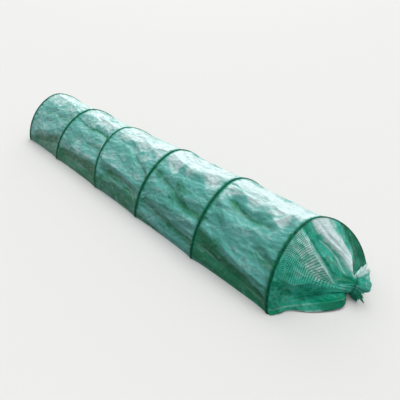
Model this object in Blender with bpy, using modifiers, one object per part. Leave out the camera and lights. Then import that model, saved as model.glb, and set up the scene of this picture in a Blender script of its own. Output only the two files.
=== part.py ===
"""Row cover tunnel: a green reinforced film cover on six wire hoops, gathered shut at both ends.

The tunnel runs along X with its near end at +X. The hoop legs stand on z = 0 and the cover's hem
lies at the soil line, one leg length higher. Every length is in metres.
"""

import math

import bmesh
import bpy
from mathutils import Euler, Matrix, Vector

# Tunnel
HOOP_SPACING = 0.600
TUNNEL_WIDTH = 0.670
TUNNEL_HEIGHT = 0.370
ARCH_EXPONENT = 1.75
LEG_LENGTH = 0.120

# How each hoop was set in the soil, from the far end to the near end
HOOP_SHIFT_SHARES = (-0.004, 0.012, 0.162, 0.029, -0.004, 0.004)
HOOP_LEAN_DEGREES = (-2, 6, -15, 2, -3, -17)
HOOP_TURN_DEGREES = (2, 0, 0, 2, 0, -10)
HOOP_COUNT = len(HOOP_SHIFT_SHARES)

# Hoop wire and the sleeve it is threaded through
WIRE_DIAMETER = 0.005
SLEEVE_WIDTH = 0.020
SLEEVE_WALL = 0.0005
SLEEVE_SLACK = 0.0004
SLEEVE_CROWN = 0.004

# Cover film
FILM_THICKNESS = 0.0004
CLEARANCE = 0.0003
FILM_SAG = 0.006
FOLD_DEPTH = 0.020
FOLD_FADE_SHARE = 0.10

# Gathered ends, measured from the end hoop's centre on the soil line, x outwards
NECK_REACH = 0.120
NECK_OFFSET = 0.076
NECK_RISE = 0.058
NECK_TURN_DEGREES = 45
NECK_DIP_DEGREES = 15
NECK_HALF_WIDTH = 0.032
NECK_HALF_HEIGHT = 0.054
NECK_PLEAT_SHARE = 0.40
PLEAT_START_SHARE = 0.45
THROAT_LENGTH = 0.014
THROAT_SPREAD = 0.003
RUFFLE_LENGTH = 0.042
RUFFLE_HALF_WIDTH = 0.052
RUFFLE_HALF_HEIGHT = 0.052
RUFFLE_PLEAT_SHARE = 0.30
SKIRT_SLACK = 0.060

# Draw cord
CORD_DIAMETER = 0.003
CORD_SEAT = 0.0030
KNOT_DIAMETER = 0.009
KNOT_ANGLE_DEGREES = 10
KNOT_LENGTH_SHARE = 1.3

# Facets
ARCH_STEPS = 24
BAY_STEPS = 10
SKIRT_STEPS = 14
THROAT_STEP = 10
NECK_STEP = 11
SKIRT_FOLD_STEPS = (1, 1, 2, 3, 3, 1, 1, 1, 1, 3, 3, 3, 3)
CORD_STEPS = 24
CORD_BEVEL_RESOLUTION = 2
KNOT_SEGMENTS = 12
KNOT_RINGS = 8

# Main folds of each bay, from the far hoop (0) to the near hoop (1) and round the arch from the
# side at -Y (0) to the side at +Y (1): start, end, half width, depth. A ridge has a negative depth.
BAY_FOLD_SHARES = (
    (
        (0.05, 0.06, 0.50, 0.16, 0.05, -0.6),
        (0.50, 0.16, 0.95, 0.26, 0.05, -0.6),
        (0.40, 0.08, 0.95, 0.13, 0.06, 0.8),
        (0.35, 0.31, 0.95, 0.33, 0.05, 0.6),
        (0.55, 0.46, 0.95, 0.41, 0.05, -0.4),
        (0.10, 0.72, 0.90, 0.66, 0.06, 0.6),
        (0.20, 0.86, 0.90, 0.84, 0.06, -0.5),
    ),
    (
        (0.10, 0.37, 0.90, 0.35, 0.05, 0.6),
        (0.20, 0.18, 0.90, 0.18, 0.05, -0.5),
        (0.20, 0.09, 0.80, 0.09, 0.06, 0.5),
        (0.65, 0.25, 0.95, 0.25, 0.04, 0.4),
        (0.50, 0.50, 0.95, 0.44, 0.05, -0.3),
        (0.10, 0.65, 0.90, 0.70, 0.06, 0.6),
        (0.30, 0.88, 0.90, 0.84, 0.06, 0.5),
    ),
    (
        (0.35, 0.53, 0.75, 0.43, 0.05, -0.4),
        (0.05, 0.43, 0.50, 0.41, 0.05, 0.4),
        (0.55, 0.33, 0.95, 0.25, 0.05, 0.5),
        (0.20, 0.17, 0.95, 0.15, 0.05, 0.7),
        (0.10, 0.10, 0.60, 0.10, 0.04, -0.3),
        (0.10, 0.74, 0.90, 0.68, 0.06, 0.6),
        (0.20, 0.84, 0.80, 0.88, 0.06, -0.5),
    ),
    (
        (0.05, 0.44, 0.55, 0.39, 0.04, 0.4),
        (0.55, 0.39, 0.95, 0.44, 0.04, 0.4),
        (0.20, 0.28, 0.95, 0.21, 0.05, 0.7),
        (0.10, 0.11, 0.95, 0.08, 0.05, 0.6),
        (0.30, 0.16, 0.95, 0.16, 0.04, -0.4),
        (0.15, 0.64, 0.90, 0.70, 0.06, 0.5),
        (0.10, 0.86, 0.90, 0.82, 0.06, 0.5),
    ),
    (
        (0.05, 0.46, 0.50, 0.45, 0.04, 0.3),
        (0.05, 0.35, 0.28, 0.26, 0.05, -0.4),
        (0.30, 0.33, 0.75, 0.32, 0.05, 0.7),
        (0.60, 0.28, 0.88, 0.43, 0.04, -0.4),
        (0.05, 0.19, 0.95, 0.11, 0.05, -0.5),
        (0.10, 0.09, 0.80, 0.05, 0.05, 0.6),
        (0.75, 0.22, 0.95, 0.19, 0.05, 0.5),
        (0.10, 0.70, 0.90, 0.66, 0.06, 0.6),
        (0.20, 0.84, 0.90, 0.86, 0.06, -0.4),
    ),
)

# The gathered end's folds, round the arch: where each leaves the hoop, the angle at which it
# meets the neck, and how far it stands off the straight line between them at four even steps
# along that line, in shares of the skirt's slack.
SKIRT_FOLD_SHARES = (
    0.0, 0.025, 0.080, 0.150, 0.270, 0.385, 0.400, 0.412, 0.450, 0.480, 0.585, 0.700, 0.850, 1.0
)
SKIRT_NECK_DEGREES = (-80, -58, -38, -20, 0, 20, 27, 33, 62, 88, 120, 160, 205, 255)
SKIRT_BULGE_SHARES = (
    ((-0.14, -1.09, 0.00), (-0.16, -1.07, 0.00), (0.60, -1.16, 0.00), (0.98, -0.72, 0.00)),
    ((-0.25, -0.61, 0.02), (-0.26, -0.87, 0.09), (0.17, -0.70, 0.21), (0.63, -0.33, 0.30)),
    ((-0.38, -0.43, -0.06), (-0.64, -0.32, -0.34), (-0.66, 0.05, -0.41), (-0.08, 0.31, -0.15)),
    ((-0.37, -0.51, 0.50), (-0.36, -0.85, 0.33), (-0.45, -0.74, 0.50), (-0.21, -0.05, -0.06)),
    ((-0.45, -0.28, 0.62), (-0.59, -0.68, 0.52), (-0.53, -0.71, 0.06), (-0.28, -0.08, -0.31)),
    ((-0.11, -0.28, 0.20), (-0.23, -0.57, 0.11), (-0.07, -0.51, -0.50), (-0.20, -0.31, -0.97)),
    ((-0.05, -0.00, -0.17), (-0.22, -0.15, -0.36), (-0.14, -0.19, -0.86), (-0.27, -0.19, -1.18)),
    ((0.07, -0.10, -0.21), (-0.08, -0.28, -0.25), (-0.15, -0.26, -0.47), (-0.23, -0.12, -0.86)),
    ((0.12, 0.28, -0.70), (-0.10, 0.55, -0.61), (-0.21, 0.61, -0.64), (-0.23, 0.42, -0.72)),
    ((0.16, 0.10, -0.26), (0.06, 0.29, -0.20), (0.03, 0.55, -0.25), (0.02, 0.57, -0.27)),
    ((0.37, 0.02, -0.34), (0.45, 0.56, -0.51), (0.45, 0.80, -0.50), (0.32, 0.40, -0.23)),
    ((0.30, 0.53, -0.83), (0.31, 0.98, -1.08), (0.23, 0.53, -0.84), (-0.03, 0.06, -0.47)),
    ((0.03, 0.44, -0.57), (0.07, 0.65, -0.79), (-0.07, 0.10, -0.72), (-0.28, -0.36, -0.43)),
    ((0.02, 0.49, 0.00), (-0.02, 0.21, 0.00), (-0.29, -0.32, 0.00), (-0.44, -0.55, 0.00)),
)

SLEEVE_EDGE = SLEEVE_WIDTH / 2 + CLEARANCE


def clear_scene():
    """Remove every object of the scene that the file opens with."""
    for obj in list(bpy.data.objects):
        bpy.data.objects.remove(obj, do_unlink=True)


def new_collection(name):
    collection = bpy.data.collections.new(name)
    bpy.context.scene.collection.children.link(collection)
    return collection


def new_material(name, colour, roughness, metallic=0.0):
    """A Principled material; colour is red, green, blue and alpha."""
    material = bpy.data.materials.new(name)
    material.use_nodes = True
    shader = material.node_tree.nodes["Principled BSDF"]
    shader.inputs["Base Color"].default_value = colour
    shader.inputs["Alpha"].default_value = colour[3]
    shader.inputs["Roughness"].default_value = roughness
    shader.inputs["Metallic"].default_value = metallic
    return material


def add_object(name, data, material, collection, parent=None):
    """An object in its collection; a child keeps its parent's axes."""
    obj = bpy.data.objects.new(name, data)
    collection.objects.link(obj)
    if material:
        data.materials.append(material)
    if parent:
        obj.parent = parent
    return obj


def hoop_frame(hoop):
    """Matrix of a hoop's own frame: its centre at the soil line, turned and leaning as it stands."""
    station = (hoop - (HOOP_COUNT + 1) / 2 + HOOP_SHIFT_SHARES[hoop - 1]) * HOOP_SPACING
    lean = math.radians(HOOP_LEAN_DEGREES[hoop - 1])
    turn = math.radians(HOOP_TURN_DEGREES[hoop - 1])
    place = Matrix.Translation((station, 0, LEG_LENGTH))
    return place @ Euler((0, lean, turn)).to_matrix().to_4x4()


def arch_point(share, along=0.0, outwards=0.0):
    """A point of the arch, from the foot at -Y (0) to the foot at +Y (1), in the hoop's frame."""
    angle = math.pi * share
    power = 2 / ARCH_EXPONENT
    across = -math.copysign(abs(math.cos(angle)) ** power, math.cos(angle))
    up = abs(math.sin(angle)) ** power
    point = Vector((along, across * TUNNEL_WIDTH / 2, up * TUNNEL_HEIGHT))
    return point + arch_outwards(share) * outwards


def arch_outwards(share):
    """The arch's outward direction, level at the feet."""
    angle = math.pi * share
    power = 2 - 2 / ARCH_EXPONENT
    across = -math.copysign(abs(math.cos(angle)) ** power, math.cos(angle)) / TUNNEL_WIDTH * 2
    up = abs(math.sin(angle)) ** power / TUNNEL_HEIGHT
    return Vector((0, across, up)).normalized()


def make_wire(hoop, frame, material, collection):
    """A hoop: one wire bent to the arch, with a straight leg under each foot."""
    foot = TUNNEL_WIDTH / 2
    points = [Vector((0, -foot, -LEG_LENGTH))]
    points += [arch_point(step / ARCH_STEPS) for step in range(ARCH_STEPS + 1)]
    points += [Vector((0, foot, -LEG_LENGTH))]
    curve = bpy.data.curves.new(f"hoop_wire_{hoop}", "CURVE")
    curve.dimensions = "3D"
    spline = curve.splines.new("POLY")
    spline.points.add(len(points) - 1)
    for spot, point in zip(spline.points, points):
        spot.co = (*point, 1)
    curve.bevel_depth = WIRE_DIAMETER / 2
    curve.bevel_resolution = 2
    curve.use_fill_caps = True
    return add_object(f"hoop_wire_{hoop}", curve, material, collection, frame)


def sleeve_outline():
    """The sleeve's outside across the wire: sewn flat at both edges, raised over the wire."""
    rise = WIRE_DIAMETER / 2 + SLEEVE_SLACK + SLEEVE_WALL
    edge = SLEEVE_WIDTH / 2
    crown = SLEEVE_CROWN
    return (
        (-edge, 0),
        (-crown, rise),
        (crown, rise),
        (edge, 0),
        (crown, -rise),
        (-crown, -rise),
    )


def make_sleeve(hoop, frame, material, collection):
    """The fabric sleeve along the arch: a flattened tube, open at both feet."""
    outline = sleeve_outline()

    def place(along_share, round_share):
        along, outwards = outline[round(round_share * len(outline)) % len(outline)]
        return arch_point(along_share, along, outwards)

    sleeve = make_grid(f"hoop_sleeve_{hoop}", ARCH_STEPS, len(outline), place, material, collection)
    sleeve.parent = frame
    close_seam(sleeve)
    thicken(sleeve, SLEEVE_WALL, -1)
    return sleeve


def make_grid(name, columns, rows, place, material, collection):
    """A grid whose points are moved to place(column share, row share)."""
    mesh = bpy.data.meshes.new(name)
    shape = bmesh.new()
    bmesh.ops.create_grid(shape, x_segments=columns, y_segments=rows, size=0.5)
    for vertex in shape.verts:
        column = round((vertex.co.x + 0.5) * columns)
        row = round((vertex.co.y + 0.5) * rows)
        vertex.co = place(column / columns, row / rows)
    bmesh.ops.recalc_face_normals(shape, faces=shape.faces)
    shape.to_mesh(mesh)
    shape.free()
    mesh.shade_smooth()
    return add_object(name, mesh, material, collection)


def close_seam(obj):
    """Join the first and last row of a grid that was wrapped into a tube, with its faces outwards."""
    shape = bmesh.new()
    shape.from_mesh(obj.data)
    bmesh.ops.remove_doubles(shape, verts=shape.verts, dist=CLEARANCE / 10)
    bmesh.ops.recalc_face_normals(shape, faces=shape.faces)
    top = max(shape.faces, key=lambda face: face.calc_center_median().z)
    if top.normal.z < 0:
        bmesh.ops.reverse_faces(shape, faces=shape.faces)
    shape.to_mesh(obj.data)
    shape.free()


def thicken(obj, thickness, offset):
    solid = obj.modifiers.new("thickness", "SOLIDIFY")
    solid.thickness = thickness
    solid.offset = offset
    solid.use_rim = True


def fold_depth(folds, bay_share, arch_share):
    """How far the film lies inside its smooth surface at a point of a bay."""
    arch_length = math.pi / 2 * (TUNNEL_WIDTH / 2 + TUNNEL_HEIGHT)
    here = Vector((bay_share * HOOP_SPACING, arch_share * arch_length))
    depth = 0.0
    for start_bay, start_arch, end_bay, end_arch, width_share, depth_share in folds:
        start = Vector((start_bay * HOOP_SPACING, start_arch * arch_length))
        line = Vector((end_bay * HOOP_SPACING, end_arch * arch_length)) - start
        along = min(max((here - start).dot(line) / line.dot(line), 0), 1)
        away = (here - start - line * along).length / (width_share * arch_length)
        depth += depth_share * FOLD_DEPTH * math.exp(-away * away)
    return depth


def hoop_fade(bay_share):
    """0 at a hoop, where the sleeve holds the film, and 1 in the bay."""
    near = min(bay_share, 1 - bay_share) / FOLD_FADE_SHARE
    near = min(near, 1)
    return near * near * (3 - 2 * near)


def make_bay(bay, material, collection):
    """The film between hoop number bay and the next, sagging a little and folded along its length."""
    far_frame = hoop_frame(bay)
    near_frame = hoop_frame(bay + 1)
    folds = BAY_FOLD_SHARES[bay - 1]
    origin = far_frame.translation.copy()

    def place(bay_share, arch_share):
        start = far_frame @ arch_point(arch_share, SLEEVE_EDGE)
        end = near_frame @ arch_point(arch_share, -SLEEVE_EDGE)
        sag = FILM_SAG * 4 * bay_share * (1 - bay_share)
        depth = sag + fold_depth(folds, bay_share, arch_share) * hoop_fade(bay_share)
        return start.lerp(end, bay_share) - arch_outwards(arch_share) * depth - origin

    film = make_grid(f"cover_bay_{bay}", BAY_STEPS, ARCH_STEPS, place, material, collection)
    film.location = origin
    thicken(film, FILM_THICKNESS, 0)
    return film


def between(values, arch_share):
    """The value at a place round the arch, from the values at the gathered end's folds."""
    shares = SKIRT_FOLD_SHARES
    index = max(i for i in range(len(shares) - 1) if shares[i] <= arch_share)
    part = (arch_share - shares[index]) / (shares[index + 1] - shares[index])
    return values[index] * (1 - part) + values[index + 1] * part


def along_fold(stations, share):
    """A point on the smooth curve through the stations of a fold, which are evenly spaced."""
    spot = share * (len(stations) - 1)
    index = min(int(spot), len(stations) - 2)
    part = spot - index
    before = stations[max(index - 1, 0)]
    start = stations[index]
    end = stations[index + 1]
    after = stations[min(index + 2, len(stations) - 1)]
    curve = start * 2 + (end - before) * part
    curve += (before * 2 - start * 5 + end * 4 - after) * part**2
    curve += (start * 3 - before - end * 3 + after) * part**3
    return curve / 2


def skirt_places():
    """Where the gathered end's columns leave the arch: at each fold, and evenly between folds."""
    places = []
    shares = SKIRT_FOLD_SHARES
    for start, end, steps in zip(shares, shares[1:], SKIRT_FOLD_STEPS):
        places += [start + (end - start) * step / steps for step in range(steps)]
    return [*places, shares[-1]]


def neck_ring(angle, half_width, half_height, reach):
    """A point of a ring round the neck's axis, which dips to the soil and turns towards +Y."""
    turn = math.radians(NECK_TURN_DEGREES)
    dip = math.radians(NECK_DIP_DEGREES)
    level = Vector((math.cos(turn), math.sin(turn), 0))
    axis = level * math.cos(dip) - Vector((0, 0, math.sin(dip)))
    across = Vector((math.sin(turn), -math.cos(turn), 0))
    up = across.cross(axis)
    centre = Vector((NECK_REACH, NECK_OFFSET, NECK_RISE)) + axis * reach
    point = centre + across * half_width * math.cos(angle) + up * half_height * math.sin(angle)
    point.z = max(point.z, FILM_THICKNESS)
    return point


def neck_point(angle, spread=0.0, scale=1.0, reach=0.0):
    """A point round the neck of the gathered end, spread outwards or scaled towards its axis."""
    half_width = (NECK_HALF_WIDTH + spread) * scale
    half_height = (NECK_HALF_HEIGHT + spread) * scale
    return neck_ring(angle, half_width, half_height, reach)


def throat_point(angle, scale=1.0):
    """A point of the slightly wider ring where the folds arrive, just before the draw cord."""
    return neck_point(angle, THROAT_SPREAD, scale, -THROAT_LENGTH)


def ruffle_point(angle, scale):
    """A point of the gathered end's loose hem, past the draw cord, lying on the soil below."""
    reach = RUFFLE_LENGTH * scale
    return neck_ring(angle, RUFFLE_HALF_WIDTH * scale, RUFFLE_HALF_HEIGHT * scale, reach)


def pleat(column, pleat_share):
    """How far in a pleat draws the film: every second column is drawn in by the share."""
    return 1 - pleat_share * (column % 2)


def end_frame(side):
    """Matrix of a gathered end's frame: side 1 at the near end, -1 at the far end, x outwards."""
    hoop = HOOP_COUNT if side > 0 else 1
    turn = Matrix.Rotation(0 if side > 0 else math.pi, 4, "Z")
    return Matrix.Translation(hoop_frame(hoop).translation) @ turn


def make_skirt(name, side, material, collection):
    """The film beyond an end hoop, drawn together at the neck, with its loose hem past the cord."""
    hoop = HOOP_COUNT if side > 0 else 1
    to_end = end_frame(side).inverted() @ hoop_frame(hoop)
    places = skirt_places()
    columns = len(places) - 1
    angles = [math.radians(degrees) for degrees in SKIRT_NECK_DEGREES]
    outwards = to_end.to_3x3() @ Vector((side, 0, 0))

    def foot(arch_share):
        foot_share = arch_share if side > 0 else 1 - arch_share
        return to_end @ arch_point(foot_share, side * SLEEVE_EDGE)

    def fold_stations(arch_share, angle, bulges):
        start = foot(arch_share)
        end = throat_point(angle)
        steps = len(bulges) + 1
        middle = [
            start.lerp(end, step / steps) + Vector(shares) * SKIRT_SLACK
            for step, shares in enumerate(bulges, 1)
        ]
        return [start, *middle, end]

    folds = map(fold_stations, SKIRT_FOLD_SHARES, angles, SKIRT_BULGE_SHARES)
    stations = list(zip(*folds))

    def place(column_share, row_share):
        column = round(column_share * columns)
        row = round(row_share * SKIRT_STEPS)
        arch_share = places[column]
        angle = between(angles, arch_share)
        drawn = pleat(column, NECK_PLEAT_SHARE)
        if row >= NECK_STEP:
            past = (row - NECK_STEP) / (SKIRT_STEPS - NECK_STEP)
            ruffle = ruffle_point(angle, pleat(column, RUFFLE_PLEAT_SHARE))
            return neck_point(angle, scale=drawn).lerp(ruffle, past)
        part = row / THROAT_STEP
        run = [between(station, arch_share) for station in stations]
        gathered = max(part - PLEAT_START_SHARE, 0) / (1 - PLEAT_START_SHARE)
        point = along_fold(run, part)
        start = foot(arch_share)
        point += (start - run[0]) * (1 - part) ** 2
        point += (throat_point(angle, drawn) - run[-1]) * gathered**2
        point -= outwards * min((point - start).dot(outwards), 0)
        point.z = max(point.z, FILM_THICKNESS)
        return point

    skirt = make_grid(name, columns, SKIRT_STEPS, place, material, collection)
    skirt.matrix_world = end_frame(side)
    thicken(skirt, FILM_THICKNESS, 0)
    return skirt


def make_cord(name, side, material, collection, cutters):
    """The draw cord round the neck, tied in one knot."""
    curve = bpy.data.curves.new(f"{name}_path", "CURVE")
    curve.dimensions = "3D"
    spline = curve.splines.new("POLY")
    spline.points.add(CORD_STEPS - 1)
    for step, spot in enumerate(spline.points):
        spot.co = (*neck_point(2 * math.pi * step / CORD_STEPS, CORD_SEAT), 1)
    spline.use_cyclic_u = True
    curve.bevel_depth = CORD_DIAMETER / 2
    curve.bevel_resolution = CORD_BEVEL_RESOLUTION
    path = add_object(f"{name}_path", curve, None, cutters)
    bpy.context.view_layer.update()
    evaluated = path.evaluated_get(bpy.context.evaluated_depsgraph_get())
    mesh = bpy.data.meshes.new_from_object(evaluated)
    bpy.data.objects.remove(path, do_unlink=True)
    cord = add_object(name, mesh, material, collection)
    cord.matrix_world = end_frame(side)

    knot_mesh = bpy.data.meshes.new(f"{name}_knot")
    shape = bmesh.new()
    radius = KNOT_DIAMETER / 2
    bmesh.ops.create_uvsphere(
        shape, u_segments=KNOT_SEGMENTS, v_segments=KNOT_RINGS, radius=radius
    )
    bmesh.ops.scale(shape, vec=(1, KNOT_LENGTH_SHARE, 1), verts=shape.verts)
    angle = math.radians(KNOT_ANGLE_DEGREES)
    centre = neck_point(angle, CORD_SEAT + radius)
    bmesh.ops.translate(shape, vec=centre, verts=shape.verts)
    shape.to_mesh(knot_mesh)
    shape.free()
    knot = add_object(f"{name}_knot", knot_mesh, None, cutters)
    knot.matrix_world = end_frame(side)
    knot.hide_render = True
    knot.display_type = "WIRE"
    join = cord.modifiers.new("knot", "BOOLEAN")
    join.operation = "UNION"
    join.object = knot
    return cord


def build():
    clear_scene()
    parts = new_collection("row_cover_tunnel")
    cutters = new_collection("cutters")
    wire_coat = new_material("coated_wire", (0.02, 0.12, 0.07, 1), 0.45, 0.2)
    sleeve_cloth = new_material("sleeve_fabric", (0.02, 0.18, 0.11, 1), 0.6)
    film = new_material("reinforced_film", (0.20, 0.52, 0.42, 0.8), 0.3)
    cord_braid = new_material("cord_braid", (0.02, 0.15, 0.09, 1), 0.8)

    for hoop in range(1, HOOP_COUNT + 1):
        frame = bpy.data.objects.new(f"hoop_{hoop}_frame", None)
        parts.objects.link(frame)
        frame.matrix_world = hoop_frame(hoop)
        make_wire(hoop, frame, wire_coat, parts)
        make_sleeve(hoop, frame, sleeve_cloth, parts)
    for bay in range(1, HOOP_COUNT):
        make_bay(bay, film, parts)
    for end, side in (("near", 1), ("far", -1)):
        make_skirt(f"end_skirt_{end}", side, film, parts)
        make_cord(f"draw_cord_{end}", side, cord_braid, parts, cutters)


build()
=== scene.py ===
# %% [markdown]
# # A row cover tunnel
# A long cover of green reinforced film is threaded on six wire hoops that stand in the soil, and
# its ends are drawn together by cords. The hoops, sleeves, film and cords come from the packed
# model, which is the frame that every piece here fits. This script gives each of them its fine
# shape and its finish.

# %% Load the frame
import math
import random

import bmesh
import bpy
import numpy as np
from mathutils import Euler, Matrix, Vector


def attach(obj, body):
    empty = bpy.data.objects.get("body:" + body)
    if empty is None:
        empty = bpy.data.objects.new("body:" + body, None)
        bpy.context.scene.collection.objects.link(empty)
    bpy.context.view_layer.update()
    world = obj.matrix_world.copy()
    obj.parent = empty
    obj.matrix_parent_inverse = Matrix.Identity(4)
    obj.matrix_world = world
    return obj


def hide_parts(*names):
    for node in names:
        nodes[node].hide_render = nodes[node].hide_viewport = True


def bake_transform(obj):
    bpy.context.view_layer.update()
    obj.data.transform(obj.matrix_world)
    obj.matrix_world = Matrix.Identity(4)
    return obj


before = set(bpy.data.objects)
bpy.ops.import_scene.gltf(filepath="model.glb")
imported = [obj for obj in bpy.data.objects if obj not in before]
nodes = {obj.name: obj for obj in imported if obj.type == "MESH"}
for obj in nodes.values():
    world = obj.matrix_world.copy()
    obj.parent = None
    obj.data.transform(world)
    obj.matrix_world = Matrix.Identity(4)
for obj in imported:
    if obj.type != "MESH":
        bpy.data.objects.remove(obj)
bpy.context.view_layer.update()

# %% [markdown]
# ## Where the hoops stand
# Every hoop is the same arch, a superellipse that is a little flatter at the shoulders than a
# half circle. Pushed into soft soil by hand, each one leans and turns its own way, and that gives
# the tunnel its uneven line. The film starts and ends at these arches, so they come first.

# %% Hoops
HOOPS = 6
SPACING = 0.600
WIDTH = 0.670
HEIGHT = 0.370
ARCH_EXPONENT = 1.75
SOIL = 0.120
SHIFT_SHARES = (-0.004, 0.012, 0.162, 0.029, -0.004, 0.004)
LEAN_DEGREES = (-2, 6, -15, 2, -3, -17)
TURN_DEGREES = (2, 0, 0, 2, 0, -10)


def hoop_matrix(hoop):
    """The place of a hoop's own frame: its centre on the soil, leaning and turned."""
    station = (hoop - (HOOPS + 1) / 2 + SHIFT_SHARES[hoop - 1]) * SPACING
    lean = math.radians(LEAN_DEGREES[hoop - 1])
    turn = math.radians(TURN_DEGREES[hoop - 1])
    return Matrix.Translation((station, 0, SOIL)) @ Euler((0, lean, turn)).to_matrix().to_4x4()


def arch_points(share, along=0.0, outwards=0.0):
    """Points round the arch, from the foot at -Y (0) to the foot at +Y (1), in a hoop's frame."""
    angle = np.pi * np.asarray(share, float)
    cosine, sine = np.cos(angle), np.abs(np.sin(angle))
    power = 2 / ARCH_EXPONENT
    across = -np.sign(cosine) * np.abs(cosine) ** power * WIDTH / 2
    up = sine**power * HEIGHT
    out_across = -np.sign(cosine) * np.abs(cosine) ** (2 - power) / WIDTH * 2
    out_up = sine ** (2 - power) / HEIGHT
    length = np.hypot(out_across, out_up)
    out_across, out_up = out_across / length, out_up / length
    along = along + np.zeros_like(across)
    points = np.stack([along, across + out_across * outwards, up + out_up * outwards], axis=-1)
    return points, np.stack([np.zeros_like(across), out_across, out_up], axis=-1)


def placed(matrix, points):
    """Points moved from a frame to the model."""
    table = np.array(matrix)
    return points @ table[:3, :3].T + table[:3, 3]


measured, _ = arch_points(np.linspace(0, 1, 400))
ARCH_LENGTH = float(np.linalg.norm(np.diff(measured, axis=0), axis=1).sum())
print("arch length", round(ARCH_LENGTH, 3))

# %% [markdown]
# ## Helpers
# Objects, materials and node groups are built from a few lines each, so small helpers keep the
# cells short. What is made with them, and why, stands with each piece.


# %% Object helpers
def add_object(name, data):
    """A new object in the scene, made of a mesh, a curve, a light or a camera."""
    made = bpy.data.objects.new(name, data)
    bpy.context.scene.collection.objects.link(made)
    return made


def mesh_of(name, shape):
    """A mesh made from a bmesh, which is freed."""
    mesh = bpy.data.meshes.new(name)
    shape.to_mesh(mesh)
    shape.free()
    return mesh


# %% Node helpers
def set_inputs(tree, node, inputs):
    """Link the inputs that are sockets and set the others."""
    for key, value in dict(inputs).items():
        if isinstance(value, bpy.types.NodeSocket):
            tree.links.new(value, node.inputs[key])
        else:
            node.inputs[key].default_value = value


def add_node(tree, kind, inputs=(), **settings):
    """A shader node with its settings and its inputs."""
    node = tree.nodes.new(kind)
    for name, value in settings.items():
        setattr(node, name, value)
    set_inputs(tree, node, inputs)
    return node


def math_of(tree, operation, *values, clamp=False):
    """A math node's result."""
    node = add_node(tree, "ShaderNodeMath", dict(enumerate(values)), operation=operation)
    node.use_clamp = clamp
    return node.outputs[0]


def mix_colours(tree, share, first, second):
    """The first colour at share 0 and the second at 1."""
    node = add_node(tree, "ShaderNodeMix", data_type="RGBA")
    set_inputs(tree, node, {0: share, 6: first, 7: second})
    return node.outputs[2]


def ramp_of(tree, value, low, high):
    """0 below the low value, 1 above the high one, and a smooth step between."""
    node = add_node(tree, "ShaderNodeMapRange", interpolation_type="SMOOTHSTEP")
    set_inputs(tree, node, {"Value": value, "From Min": low, "From Max": high})
    return node.outputs[0]


def new_group(name, inputs, outputs):
    """A shader node group: inputs as {name: (socket kind, value)}, outputs as {name: kind}."""
    group = bpy.data.node_groups.new(name, "ShaderNodeTree")
    for label, (kind, value) in inputs.items():
        socket = group.interface.new_socket(label, in_out="INPUT", socket_type=kind)
        if value is not None:
            socket.default_value = value
    for label, kind in outputs.items():
        group.interface.new_socket(label, in_out="OUTPUT", socket_type=kind)
    source = group.nodes.new("NodeGroupInput").outputs
    return group, source, group.nodes.new("NodeGroupOutput").inputs


def use_group(tree, group, inputs=()):
    """The outputs of a group placed in a material."""
    return add_node(tree, "ShaderNodeGroup", inputs, node_tree=group).outputs


def new_material(name):
    """A material with its node tree and its shader."""
    material = bpy.data.materials.new(name)
    material.use_nodes = True
    return material, material.node_tree, material.node_tree.nodes["Principled BSDF"]


def seen_by_camera(tree):
    """1 for the camera's rays, also once mirrored or passed on, and the light's path facts."""
    path = add_node(tree, "ShaderNodeLightPath").outputs
    seen = math_of(tree, "MAXIMUM", path["Is Camera Ray"], path["Is Glossy Ray"])
    return math_of(tree, "MAXIMUM", seen, path["Is Transmission Ray"]), path


# %% [markdown]
# ## Camera
# The photograph was taken standing, from the side of the near end, looking down at the tunnel.
# The camera's place and turn were solved from the hoops, so it is set by numbers and not aimed.

# %% Camera
LENS = 36.0
SENSOR_WIDTH = 36.0
CAMERA_PLACE = (2.271, -1.444, 1.489)
CAMERA_TILT_DEGREES = 60.48
CAMERA_TURN_DEGREES = 49.45
FAR_CLIP = 100.0

camera = add_object("camera", bpy.data.cameras.new("camera"))
camera.data.lens = LENS
camera.data.sensor_width = SENSOR_WIDTH
camera.data.clip_end = FAR_CLIP
camera.location = CAMERA_PLACE
camera.rotation_euler = (math.radians(CAMERA_TILT_DEGREES), 0, math.radians(CAMERA_TURN_DEGREES))
bpy.context.scene.camera = camera
print("camera:", round(CAMERA_PLACE[2] - SOIL, 2), "m above the soil")

# %% [markdown]
# ## Ground, light and backdrop
# The floor lies at the soil line, so the legs are in the ground as they are in a garden. To the
# camera it is pale. To the light that bounces off it, it is dark, as soil is, so the tunnel's
# inside and lower sides keep their depth of colour. Seen through the film it is painted dark green:
# painted shade and painted green light for the soil under the cover. Wide suns stand for an
# overcast sky: one high, one behind the tunnel that makes its crown shine, and a weak one in front.

# %% Floor
FLOOR_SIZE = 60.0
FLOOR_COLOUR = (0.80, 0.79, 0.77, 1)
SOIL_COLOUR = (0.060, 0.050, 0.040, 1)
SOIL_IN_GREEN_SHADE_COLOUR = (0.010, 0.055, 0.034, 1)
FLOOR_ROUGHNESS = 0.9
FLOOR_SPECULAR = 0.1

shape = bmesh.new()
bmesh.ops.create_grid(shape, x_segments=1, y_segments=1, size=FLOOR_SIZE / 2)
bmesh.ops.translate(shape, vec=(0, 0, SOIL), verts=shape.verts)
floor = add_object("floor", mesh_of("floor", shape))

material, tree, shader = new_material("floor_paint")
seen, path = seen_by_camera(tree)
through = math_of(tree, "GREATER_THAN", path["Transparent Depth"], 0.5)
colour = mix_colours(tree, seen, SOIL_COLOUR, FLOOR_COLOUR)
# Painted shade and green light: seen through the film, the floor is dark green.
colour = mix_colours(tree, through, colour, SOIL_IN_GREEN_SHADE_COLOUR)
set_inputs(tree, shader, {"Base Color": colour, "Roughness": FLOOR_ROUGHNESS,
                          "Specular IOR Level": FLOOR_SPECULAR})
floor.data.materials.append(material)
print("floor:", SOIL, "m above the tips of the legs")

# %% Sky and sun
SKY_COLOUR = (0.93, 0.96, 1.0, 1)
SKY_LIGHT = 0.40
SUN_LIGHT = 1.7
BACK_LIGHT = 0.9
FRONT_LIGHT = 0.5
SUN_SPREAD_DEGREES = 50

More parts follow.
